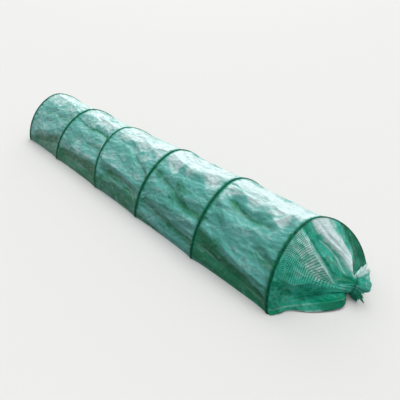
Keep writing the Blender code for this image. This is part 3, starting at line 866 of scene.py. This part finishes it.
def skirt_masks(out, round_arch, creased):
    """Mist with painted light and shade, whitening with painted highlight, and net; creased is from
    creases.
    """
    # Mist with painted light and shade, fold by fold: by the hoop, by the neck and in the ruffle.
    by_hoop, by_neck, in_ruffle = (
        np.interp(round_arch, FOLD_PLACES, shares)
        for shares in (MIST_AND_LIGHT_BY_HOOP_SHARES, MIST_AND_LIGHT_BY_NECK_SHARES, MIST_AND_LIGHT_IN_RUFFLE_SHARES)
    )
    mist_light_and_shade = by_hoop + (by_neck - by_hoop) * smooth_step(out / THROAT_ROW_SHARE)
    mist_light_and_shade += (in_ruffle - mist_light_and_shade) * smooth_step((out - NECK_ROW_SHARE) / RUFFLE_MIST_AND_LIGHT_FADE_SHARE)
    crest = pleats(round_arch, 1.0)
    pleated = smooth_step((out - PLEATED_FROM_SHARE) / PLEATED_FADE_SHARE)
    mist_light_and_shade *= 1 - PLEAT_SHADE_SHARE * (1 - crest) * pleated

    # Painted highlights on the pleats' crests and along the folds' edges.
    bent_white_and_highlight = smooth_step((crest - CREST_FROM_SHARE) / CREST_FADE_SHARE) * pleated
    bent_white_and_highlight *= PLEAT_SHINE_SHARE
    for place, shine in zip(FOLD_PLACES, RIDGE_SHINE_SHARES):
        line = np.exp(-(((round_arch - place) * ARCH_LENGTH / RIDGE_LINE) ** 2))
        bent_white_and_highlight = np.maximum(bent_white_and_highlight, line * shine)

    net = smooth_step((round_arch - NET_FROM_SHARE) / NET_FROM_FADE_SHARE)
    net *= smooth_step((NET_TO_SHARE - round_arch) / NET_TO_FADE_SHARE)
    net *= smooth_step((NET_OUT_SHARE - out) / NET_OUT_FADE_SHARE)
    return {
        "mist_light_and_shade": mist_light_and_shade,
        "whitening_and_highlight": np.clip(np.maximum(creased, bent_white_and_highlight), 0, 1),
        "net": LEAST_NET_SHARE + (1 - LEAST_NET_SHARE) * net,
        "hem": np.zeros(len(out)),
    }


def make_skirt(name, side):
    """The film from an end hoop through the cord to the ruffle's rim."""
    mesh, shares = film_grid(name, *SKIRT_GRID)
    out, round_arch = shares[:, 0], shares[:, 1]
    points = skirt_points(side, out, round_arch)
    x, y = out * SKIRT_REACH, round_arch * ARCH_LENGTH
    folds = Folds(x, y)
    for corners, half_width, depth in SKIRT_CREASES:
        corners = in_metres(corners, SKIRT_SIZE)
        folds.add(corners, half_width, depth * FOLD_DEPTH, whitening_and_highlight=SKIRT_CREASE_WHITE)
    folds.scatter(random.Random(CREASE_SEED), SKIRT_SIZE, **SMALL_CREASES)
    before_throat = smooth_step((THROAT_ROW_SHARE - out) / THROAT_FADE_SHARE)
    depth = folds.depth * smooth_step(out / HOOP_FADE_SHARE) * before_throat
    points -= outward_normals(points, *SKIRT_GRID) * depth[:, None]
    points[:, 2] = np.maximum(points[:, 2], FILM_THICKNESS)
    points = placed(END_FRAMES[side], points)
    masks = skirt_masks(out, round_arch, folds.whitening_and_highlight)
    film = lay_film(mesh, points, np.stack([x, y], axis=1), masks)
    add_thickness(film)
    return film


skirts = {"near": make_skirt("film_end_near", 1), "far": make_skirt("film_end_far", -1)}
for end, film in skirts.items():
    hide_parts(f"end_skirt_{end}")
print("ends:", len(skirts), "of", len(skirts["near"].data.polygons), "faces")

# %% [markdown]
# ## Sleeves
# Each hoop runs in a sleeve of woven tape: one strip above the film and one below, sewn together
# along both edges. Where the wire lies inside, the sleeve is raised, and the seam draws it in a
# little at every stitch. A grid wrapped round the arch gives the tube, closed along its seam, and
# short rods of thread lie along both seams on the outer face.

# %% Sleeves
SLEEVE_GRID = (22, 300)
SLEEVE_HALF_WIDTH = 0.010
SLEEVE_RISE = 0.0036
SLEEVE_WALL = 0.0005
SLEEVE_PROFILE = ((0.0, 1.06), (0.2, 1.04), (0.42, 0.98), (0.6, 0.70), (0.78, 0.36), (1.0, 0.03))
RIPPLE_SHARE = 0.10
RIPPLE_SIZES = (0.0021, 0.0046, 0.0090, 0.0170)
SAME_PLACE = 1e-6
SEAM_SHARE = 0.82
STITCH_PITCH = 0.0052
STITCH_LENGTH = 0.0036
STITCH_SIDES = 6
STITCH_LIFT_SHARE = 0.4
THREAD_RADIUS = 0.0004
ARCH_POINTS = 600
ARCH_STEP_SHARE = 0.0005


def sleeve_rise(along):
    """The sleeve's height over the arch at a place across it."""
    places, heights = zip(*SLEEVE_PROFILE)
    return np.interp(np.abs(along) / SLEEVE_HALF_WIDTH, places, heights) * SLEEVE_RISE


def make_sleeve(hoop):
    """The tape tube round a hoop, open at both feet."""
    mesh, shares = film_grid(f"sleeve_tape_{hoop}", *SLEEVE_GRID)
    round_tube, round_arch = shares[:, 0] * 2 * np.pi, shares[:, 1]
    along = np.cos(round_tube) * SLEEVE_HALF_WIDTH
    draw = random.Random(hoop)
    ripple = np.zeros(len(along))
    for size in RIPPLE_SIZES:
        strength = draw.uniform(0.2, 0.5)
        ripple += strength * np.sin(round_arch * ARCH_LENGTH / size + draw.uniform(0, 6))
    upwards = np.sin(round_tube)
    height = sleeve_rise(along) * np.sign(upwards + TINY) * (1 + RIPPLE_SHARE * ripple)
    height = np.where(np.abs(upwards) < SAME_PLACE, 0, height)
    points, _ = arch_points(round_arch, along, height)
    points = placed(hoop_matrix(hoop), points)
    place = np.stack([round_tube * SLEEVE_HALF_WIDTH, round_arch * ARCH_LENGTH], axis=1)
    sleeve = lay_film(mesh, points, place, {"seam": np.abs(along) / SLEEVE_HALF_WIDTH})
    shape = bmesh.new()
    shape.from_mesh(mesh)
    bmesh.ops.remove_doubles(shape, verts=shape.verts, dist=SAME_PLACE)
    bmesh.ops.recalc_face_normals(shape, faces=shape.faces)
    shape.to_mesh(mesh)
    shape.free()
    wall = sleeve.modifiers.new("wall", "SOLIDIFY")
    wall.thickness = SLEEVE_WALL
    wall.offset = -1
    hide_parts(f"hoop_sleeve_{hoop}")
    return sleeve


def make_stitches(hoop):
    """Two rows of stitches along a sleeve's seams."""
    seam = SLEEVE_HALF_WIDTH * SEAM_SHARE
    lift = float(sleeve_rise(seam)) + THREAD_RADIUS * STITCH_LIFT_SHARE
    count = int(ARCH_LENGTH / STITCH_PITCH)
    fine = np.linspace(0, 1, ARCH_POINTS)
    path, _ = arch_points(fine)
    run = np.concatenate([[0], np.cumsum(np.linalg.norm(np.diff(path, axis=0), axis=1))])
    share = np.interp((np.arange(count) + 0.5) / count * run[-1], run, fine)
    shape = bmesh.new()
    for side in (-seam, seam):
        middle, up = arch_points(share, side, lift)
        ahead, _ = arch_points(np.clip(share + ARCH_STEP_SHARE, 0, 1), side, lift)
        behind, _ = arch_points(np.clip(share - ARCH_STEP_SHARE, 0, 1), side, lift)
        for spot, lead, trail, rise in zip(middle, ahead, behind, up):
            along = Vector(lead - trail).normalized()
            turn = Vector(rise).cross(along)
            axes = Matrix((turn, Vector(rise), along)).transposed().to_4x4()
            bmesh.ops.create_cone(shape, cap_ends=True, segments=STITCH_SIDES,
                                  radius1=THREAD_RADIUS, radius2=THREAD_RADIUS,
                                  depth=STITCH_LENGTH, matrix=Matrix.Translation(spot) @ axes)
    bmesh.ops.transform(shape, matrix=hoop_matrix(hoop), verts=shape.verts)
    name = f"sleeve_stitches_{hoop}"
    return add_object(name, mesh_of(name, shape))


sleeves = {hoop: make_sleeve(hoop) for hoop in range(1, HOOPS + 1)}
stitches = {hoop: make_stitches(hoop) for hoop in range(1, HOOPS + 1)}
stitch_count = len(stitches[1].data.polygons) // (STITCH_SIDES + 2)
print("sleeves:", len(sleeves), "stitches on each:", stitch_count)

# %% [markdown]
# ## Draw cords
# A laid cord of three strands closes each neck, tied in front in a plain knot. The strands are
# curves that wind round the cord's own path, so the lay is real and not painted on. The path is
# the neck's ring, a cord's radius outside the pleats.

# %% Draw cords
CORD_DIAMETER = 0.003
CORD_SEAT = 0.0030
STRANDS = 3
STRAND_RADIUS = 0.00080
LAY_LENGTH = 0.0075
CORD_POINTS = 420
KNOT_ANGLE_DEGREES = 10
KNOT_RADIUS = 0.0045
KNOT_TUBE_RADIUS = 0.0013
KNOT_POINTS = 60
KNOT_STRETCH = (1, 1.3, 1)


def cord_ring(angle):
    """The cord's centre line round the neck, in the end's frame."""
    return neck_points(angle, NECK_HALF_WIDTH + CORD_SEAT, NECK_HALF_HEIGHT + CORD_SEAT)


def tube(name, runs, radius):
    """Closed strands along runs of points, as one mesh."""
    curve = bpy.data.curves.new(name, "CURVE")
    curve.dimensions = "3D"
    curve.bevel_depth = radius
    curve.bevel_resolution = 1
    for run in runs:
        spline = curve.splines.new("POLY")
        spline.points.add(len(run) - 1)
        spline.points.foreach_set("co", np.hstack([run, np.ones((len(run), 1))]).ravel())
        spline.use_cyclic_u = True
    path = add_object(name, curve)
    bpy.context.view_layer.update()
    evaluated = path.evaluated_get(bpy.context.evaluated_depsgraph_get())
    mesh = bpy.data.meshes.new_from_object(evaluated)
    bpy.data.objects.remove(path)
    return mesh


def make_knot(end):
    """A plain knot, a closed trefoil of cord, in front of the neck in the end's frame."""
    turn = np.linspace(0, 2 * np.pi, KNOT_POINTS, endpoint=False)
    loop = np.stack([np.sin(turn) + 2 * np.sin(2 * turn), -np.sin(3 * turn),
                     np.cos(turn) - 2 * np.cos(2 * turn)], axis=1)
    loop *= (KNOT_RADIUS - KNOT_TUBE_RADIUS) / 3
    seat = CORD_SEAT + KNOT_RADIUS
    centre = neck_points(math.radians(KNOT_ANGLE_DEGREES), NECK_HALF_WIDTH + seat,
                         NECK_HALF_HEIGHT + seat)
    return tube(f"knot_{end}", [centre + loop * KNOT_STRETCH], KNOT_TUBE_RADIUS)


def make_cord(end, side):
    """The laid cord round a neck, with its knot."""
    angle = np.linspace(0, 2 * np.pi, CORD_POINTS, endpoint=False)
    ring = cord_ring(angle)
    gap = np.linalg.norm(np.roll(ring, -1, axis=0) - ring, axis=1)
    travelled = np.concatenate([[0], np.cumsum(gap)[:-1]])
    turns = round(gap.sum() / LAY_LENGTH)
    ahead = np.roll(ring, -1, axis=0) - np.roll(ring, 1, axis=0)
    ahead /= np.linalg.norm(ahead, axis=1, keepdims=True)
    outwards = np.cross(ahead, NECK_AXIS)
    winding = travelled / gap.sum() * turns * 2 * np.pi
    reach = CORD_DIAMETER / 2 - STRAND_RADIUS
    runs = []
    for strand in range(STRANDS):
        spin = (winding + strand * 2 * np.pi / STRANDS)[:, None]
        runs.append(ring + (outwards * np.cos(spin) + NECK_AXIS * np.sin(spin)) * reach)
    cord = tube(f"cord_{end}", runs, STRAND_RADIUS)
    knot = make_knot(end)
    shape = bmesh.new()
    shape.from_mesh(cord)
    shape.from_mesh(knot)
    bmesh.ops.transform(shape, matrix=END_FRAMES[side], verts=shape.verts)
    shape.to_mesh(cord)
    shape.free()
    bpy.data.meshes.remove(knot)
    cord.polygons.foreach_set("use_smooth", [True] * len(cord.polygons))
    tied = add_object(f"cord_{end}", cord)
    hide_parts(f"draw_cord_{end}")
    print(f"cord {end}:", round(float(gap.sum()), 3), "m round the neck")
    return tied


cords = {"near": make_cord("near", 1), "far": make_cord("far", -1)}

# %% [markdown]
# ## Film finish
# The cover is clear green film pressed round a net of threads, about a hundred to the metre. Each
# cell lets the inside show through, and the threads are a little more solid. The film is palest
# at the crown, where most drops hang under it and a painted highlight of the sky's sheen lies, and
# a little paler along the doubled hem; low down and in its valleys it is darker, painted shade.
# Stiff film breaks into flat facets with bent borders, each painted a little lighter or darker
# than the next as facets catch the light, and its bent lines are whiter, partly from bending and
# partly as a painted highlight.

# %% Scrim group
def map_in_pitches(group, source):
    """The places along both sides of a map, counted in pitches."""
    scaled = add_node(group, "ShaderNodeVectorMath", {0: source["Map"], 1: source["Pitch"]},
                      operation="DIVIDE")
    return add_node(group, "ShaderNodeSeparateXYZ", {0: scaled.outputs[0]}).outputs


group, source, result = new_group(
    "Scrim",
    {"Map": ("NodeSocketVector", None), "Pitch": ("NodeSocketFloat", 0.010),
     "Thread": ("NodeSocketFloat", 0.15), "Softness": ("NodeSocketFloat", 0.06)},
    {"Threads": "NodeSocketFloat"},
)
split = map_in_pitches(group, source)
lines = []
for axis in range(2):
    beside = math_of(group, "PINGPONG", split[axis], 0.5)
    edge = math_of(group, "SUBTRACT", source["Thread"], beside)
    lines.append(math_of(group, "DIVIDE", edge, source["Softness"], clamp=True))
group.links.new(math_of(group, "MAXIMUM", *lines), result["Threads"])
scrim = group
print("scrim group:", len(scrim.nodes), "nodes")

# %% Film material
CLOUD_SCALE, CLOUD_STRETCH = 2.2, (2.0, 5.0, 5.0)
SPECKLE_SCALE, SPECKLE_STRETCH = 42.0, (1.0, 1.6, 1.6)
FACET_SCALE, FACET_STRETCH = 15.0, (1.0, 2.2, 2.2)
CRINKLE_SCALE = 34.0
DRIFT_SCALE = 9.0
DRIFT_REACH = 0.05
NOISE_ROUGHNESS = 0.62
CLOUD_SHARE = 0.65
SPECKLE_SHARE = 0.35
FACET_SHARE = 0.22
HEM_MIST_SHARE = 0.14
MISTED_AT = 0.5
WHITE_LINE_PATCH_FROM, WHITE_LINE_PATCH_TO = 0.42, 0.62
BENT_WHITE_AND_HIGHLIGHT_SHARE = 0.60
MIST_AND_LIGHT_ALPHA = 0.25
THREAD_ALPHA = 0.15
BENT_ALPHA = 0.30
FACET_RELIEF = 3.2
THREAD_RELIEF = 0.08
RELIEF_STRENGTH = 0.45
RELIEF_DEPTH = 0.0045
FILM_ROUGHNESS = 0.20


def read_mask(tree, label):
    """A named mask of the mesh."""
    return add_node(tree, "ShaderNodeAttribute", attribute_name=label).outputs["Fac"]


def noise_of(tree, place, stretch, scale, detail):
    """A noise from about 0.3 to 0.7 on Object coordinates, finer where the stretch is larger."""
    mapping = add_node(tree, "ShaderNodeMapping", {0: place, 3: stretch})
    inputs = {0: mapping.outputs[0], "Scale": scale, "Detail": detail,
              "Roughness": NOISE_ROUGHNESS}
    return add_node(tree, "ShaderNodeTexNoise", inputs).outputs["Fac"]


def facets_of(tree, place):
    """Cells with bent borders: each cell's own painted light and the distance from its middle."""
    drift = add_node(tree, "ShaderNodeTexNoise", {0: place, "Scale": DRIFT_SCALE, "Detail": 3.0})
    bent_place = add_node(tree, "ShaderNodeVectorMath", operation="MULTIPLY_ADD")
    set_inputs(tree, bent_place, {0: drift.outputs["Color"], 1: (DRIFT_REACH,) * 3, 2: place})
    stretched = add_node(tree, "ShaderNodeMapping", {0: bent_place.outputs[0], 3: FACET_STRETCH})
    facets = add_node(tree, "ShaderNodeTexVoronoi",
                      {0: stretched.outputs[0], "Scale": FACET_SCALE, "Randomness": 1.0}).outputs
    shade = add_node(tree, "ShaderNodeSeparateColor", {0: facets["Color"]}).outputs[0]
    return shade, facets["Distance"]


def add_relief(tree, shader, height, strength, depth):
    """A bump that feeds the shader's normal."""
    inputs = {"Strength": strength, "Distance": depth, "Height": height}
    bump = add_node(tree, "ShaderNodeBump", inputs)
    tree.links.new(bump.outputs[0], shader.inputs["Normal"])


def film_material(name, clear, misted, whitening_and_highlight, thread_share, clear_alpha, specular):
    """Clear, misted and white go from dry film and painted shade to drops and painted highlight."""
    material, tree, shader = new_material(name)
    place = add_node(tree, "ShaderNodeTexCoord").outputs
    cloud = noise_of(tree, place["Object"], CLOUD_STRETCH, CLOUD_SCALE, 6.0)
    speckle = noise_of(tree, place["Object"], SPECKLE_STRETCH, SPECKLE_SCALE, 3.0)
    crinkle = noise_of(tree, place["Object"], FACET_STRETCH, CRINKLE_SCALE, 4.0)
    facet, from_middle = facets_of(tree, place["Object"])
    # The mask read here holds mist with painted light and shade; noise mottles it, each facet gets
    # its own painted light, and the doubled hem is paler.
    mist_light_and_shade = math_of(tree, "MULTIPLY_ADD", cloud, CLOUD_SHARE, read_mask(tree, "mist_light_and_shade"))
    mist_light_and_shade = math_of(tree, "MULTIPLY_ADD", speckle, SPECKLE_SHARE, mist_light_and_shade)
    mist_light_and_shade = math_of(tree, "MULTIPLY_ADD", facet, FACET_SHARE, mist_light_and_shade)
    mist_light_and_shade = math_of(tree, "SUBTRACT", mist_light_and_shade, (CLOUD_SHARE + SPECKLE_SHARE + FACET_SHARE) / 2)
    mist_light_and_shade = math_of(tree, "MULTIPLY_ADD", read_mask(tree, "hem"), HEM_MIST_SHARE, mist_light_and_shade)
    film = mix_colours(tree, ramp_of(tree, mist_light_and_shade, 0.0, MISTED_AT), clear, misted)
    film = mix_colours(tree, ramp_of(tree, mist_light_and_shade, MISTED_AT, 1.0), film, whitening_and_highlight)
    threads = use_group(tree, scrim, {"Map": place["UV"]})["Threads"]
    threads = math_of(tree, "MULTIPLY", threads, read_mask(tree, "net"))
    film = mix_colours(tree, math_of(tree, "MULTIPLY", threads, thread_share), film, clear)
    # The fold lines: whitening from bending with a painted highlight, shown in random patches.
    white_line_patches = ramp_of(tree, cloud, WHITE_LINE_PATCH_FROM, WHITE_LINE_PATCH_TO)
    bent_white_and_highlight = math_of(tree, "MULTIPLY", read_mask(tree, "whitening_and_highlight"), white_line_patches)
    bent_white_and_highlight = math_of(tree, "MULTIPLY", bent_white_and_highlight, BENT_WHITE_AND_HIGHLIGHT_SHARE)
    film = mix_colours(tree, bent_white_and_highlight, film, whitening_and_highlight)
    alpha = math_of(tree, "MULTIPLY_ADD", mist_light_and_shade, MIST_AND_LIGHT_ALPHA, clear_alpha)
    alpha = math_of(tree, "MULTIPLY_ADD", threads, THREAD_ALPHA, alpha)
    alpha = math_of(tree, "MULTIPLY_ADD", bent_white_and_highlight, BENT_ALPHA, alpha, clamp=True)
    relief = math_of(tree, "MULTIPLY_ADD", from_middle, FACET_RELIEF, crinkle)
    relief = math_of(tree, "MULTIPLY_ADD", threads, THREAD_RELIEF, relief)
    add_relief(tree, shader, relief, RELIEF_STRENGTH, RELIEF_DEPTH)
    set_inputs(tree, shader, {"Base Color": film, "Alpha": alpha, "Roughness": FILM_ROUGHNESS,
                              "Specular IOR Level": specular})
    return material


cover_film = film_material(
    "cover_film", clear=(0.018, 0.250, 0.116, 1), misted=(0.130, 0.490, 0.435, 1),
    whitening_and_highlight=(0.700, 0.880, 0.870, 1), thread_share=0.5, clear_alpha=0.82, specular=0.18)
# The ends get a brighter, greener copy of the film: painted light, the glow of light through the
# gathered film.
end_film = film_material(
    "end_film", clear=(0.002, 0.220, 0.115, 1), misted=(0.070, 0.580, 0.440, 1),
    whitening_and_highlight=(0.800, 0.980, 0.970, 1), thread_share=1.0, clear_alpha=0.93, specular=0.10)
for film in bays.values():
    film.data.materials.append(cover_film)
for film in skirts.values():
    film.data.materials.append(end_film)
print("film material:", len(cover_film.node_tree.nodes), "nodes")

# %% [markdown]
# ## Tape, thread, cord and wire
# The sleeves and cords are deep green polypropylene, and the thread is a little paler. The tape's
# weave is too fine for geometry, so it is a bump on the map of each sleeve, in metres. The wires
# are steel with a green plastic coat, dull from handling and stained where they stand in soil.

# %% Weave group
group, source, result = new_group(
    "Weave",
    {"Map": ("NodeSocketVector", None), "Pitch": ("NodeSocketFloat", 0.0011)},
    {"Height": "NodeSocketFloat"},
)
split = map_in_pitches(group, source)
turns = [math_of(group, "MULTIPLY", split[axis], math.tau) for axis in range(2)]
waves = [math_of(group, "SINE", turn) for turn in turns]
group.links.new(math_of(group, "MULTIPLY", *waves), result["Height"])
weave = group
print("weave group:", len(weave.nodes), "nodes")

# %% Tape, thread, cord and wire materials
TAPE_COLOUR = (0.002, 0.088, 0.046, 1)
TAPE_EDGE_COLOUR = (0.008, 0.170, 0.095, 1)
THREAD_COLOUR = (0.045, 0.300, 0.180, 1)
CORD_COLOUR = (0.008, 0.120, 0.060, 1)
CORD_WORN_COLOUR = (0.040, 0.210, 0.120, 1)
WIRE_COLOUR = (0.020, 0.120, 0.070, 1)
SOIL_STAIN = (0.075, 0.050, 0.033, 1)
EVEN = (1, 1, 1)
FABRIC_SPECULAR = 0.05
FABRIC_RELIEF_STRENGTH = 0.6
WEAVE_DEPTH = 0.0003
FIBRE_SCALE = 1400.0
FIBRE_DEPTH = 0.0002
SHADED_FROM, SHADED_TO = 0.40, 0.66
EDGE_FROM, EDGE_TO = 0.80, 0.98
SCUFF_SCALE = 160.0
SCUFFED_FROM, SCUFFED_TO = 0.52, 0.70
STAIN_RAGGED = 0.07
STAIN_TOP, STAIN_FULL = SOIL + 0.060, SOIL + 0.020
STAIN_SHARE = 0.8
WIRE_ROUGHNESS = 0.40
STAIN_ROUGHNESS = 0.35


def fabric_material(name, colour, worn_colour, scale, roughness, edged=False):
    """Green plastic fibre: two shades in soft patches, and a worn edge along a tape's seams."""
    material, tree, shader = new_material(name)
    place = add_node(tree, "ShaderNodeTexCoord").outputs
    patches = ramp_of(tree, noise_of(tree, place["Object"], EVEN, scale, 4.0), SHADED_FROM, SHADED_TO)
    shade = mix_colours(tree, patches, colour, worn_colour)
    if edged:
        edge = ramp_of(tree, read_mask(tree, "seam"), EDGE_FROM, EDGE_TO)
        shade = mix_colours(tree, edge, shade, worn_colour)
    set_inputs(tree, shader, {"Base Color": shade, "Roughness": roughness,
                              "Specular IOR Level": FABRIC_SPECULAR})
    return material, tree, shader, place


tape, tree, shader, place = fabric_material(
    "sleeve_tape", TAPE_COLOUR, TAPE_EDGE_COLOUR, scale=55.0, roughness=0.55, edged=True)
woven = use_group(tree, weave, {"Map": place["UV"]})["Height"]
add_relief(tree, shader, woven, FABRIC_RELIEF_STRENGTH, WEAVE_DEPTH)
thread = fabric_material(
    "seam_thread", THREAD_COLOUR, TAPE_EDGE_COLOUR, scale=160.0, roughness=0.5)[0]
laid_cord, tree, shader, place = fabric_material(
    "laid_cord", CORD_COLOUR, CORD_WORN_COLOUR, scale=90.0, roughness=0.6)
fibres = noise_of(tree, place["Object"], EVEN, FIBRE_SCALE, 2.0)
add_relief(tree, shader, fibres, FABRIC_RELIEF_STRENGTH, FIBRE_DEPTH)

coated_wire, tree, shader = new_material("coated_wire")
place = add_node(tree, "ShaderNodeTexCoord").outputs
height = add_node(tree, "ShaderNodeSeparateXYZ", {0: place["Object"]}).outputs[2]
scuffs = noise_of(tree, place["Object"], EVEN, SCUFF_SCALE, 5.0)
scuffed = ramp_of(tree, scuffs, SCUFFED_FROM, SCUFFED_TO)
stain = math_of(tree, "MULTIPLY_ADD", scuffs, STAIN_RAGGED, height)
stain = ramp_of(tree, stain, STAIN_TOP, STAIN_FULL)
coat = mix_colours(tree, scuffed, WIRE_COLOUR, TAPE_EDGE_COLOUR)
coat = mix_colours(tree, math_of(tree, "MULTIPLY", stain, STAIN_SHARE), coat, SOIL_STAIN)
dull = math_of(tree, "MULTIPLY_ADD", stain, STAIN_ROUGHNESS, WIRE_ROUGHNESS)
set_inputs(tree, shader, {"Base Color": coat, "Roughness": dull})

for hoop in range(1, HOOPS + 1):
    sleeves[hoop].data.materials.append(tape)
    stitches[hoop].data.materials.append(thread)
    wire = nodes[f"hoop_wire_{hoop}"]
    wire.data.materials.clear()
    wire.data.materials.append(coated_wire)
for cord in cords.values():
    cord.data.materials.append(laid_cord)
print("fabric and wire materials:", [made.name for made in (tape, thread, laid_cord, coated_wire)])

# %% [markdown]
# ## How the soft pieces are held
# A sleeve and its stitches grip one hoop and ride on it, and a cord rides on its neck. A bay's
# film joins two hoops and an end film joins a hoop and a neck; each is baked where it lies, and
# the span over which each bay folds is measured.

# %% Sleeves and cords
for hoop, sleeve in sleeves.items():
    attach(sleeve, f"hoop_{hoop}")
    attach(stitches[hoop], f"hoop_{hoop}")
for end, cord in cords.items():
    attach(cord, f"{end}_gather")


def fold_zone(bay):
    """Where a bay folds: all the film between its two sleeves, along the way they lean."""
    turns = [hoop_matrix(hoop).to_3x3() for hoop in (bay, bay + 1)]
    way = sum((turn @ Vector((1, 0, 0)) for turn in turns), Vector()).normalized()
    far, near = (placed(hoop_matrix(hoop), measured) @ np.array(way) for hoop in (bay, bay + 1))
    return way * (far.max() + SLEEVE_HALF_WIDTH), way * (near.min() - SLEEVE_HALF_WIDTH)


for bay, film in bays.items():
    start, end = fold_zone(bay)
    print("bay", bay, "folds over", round((end - start).length, 3), "m")
    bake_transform(film)
for end, film in skirts.items():
    side, hoop = (1, HOOPS) if end == "near" else (-1, 1)
    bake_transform(film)
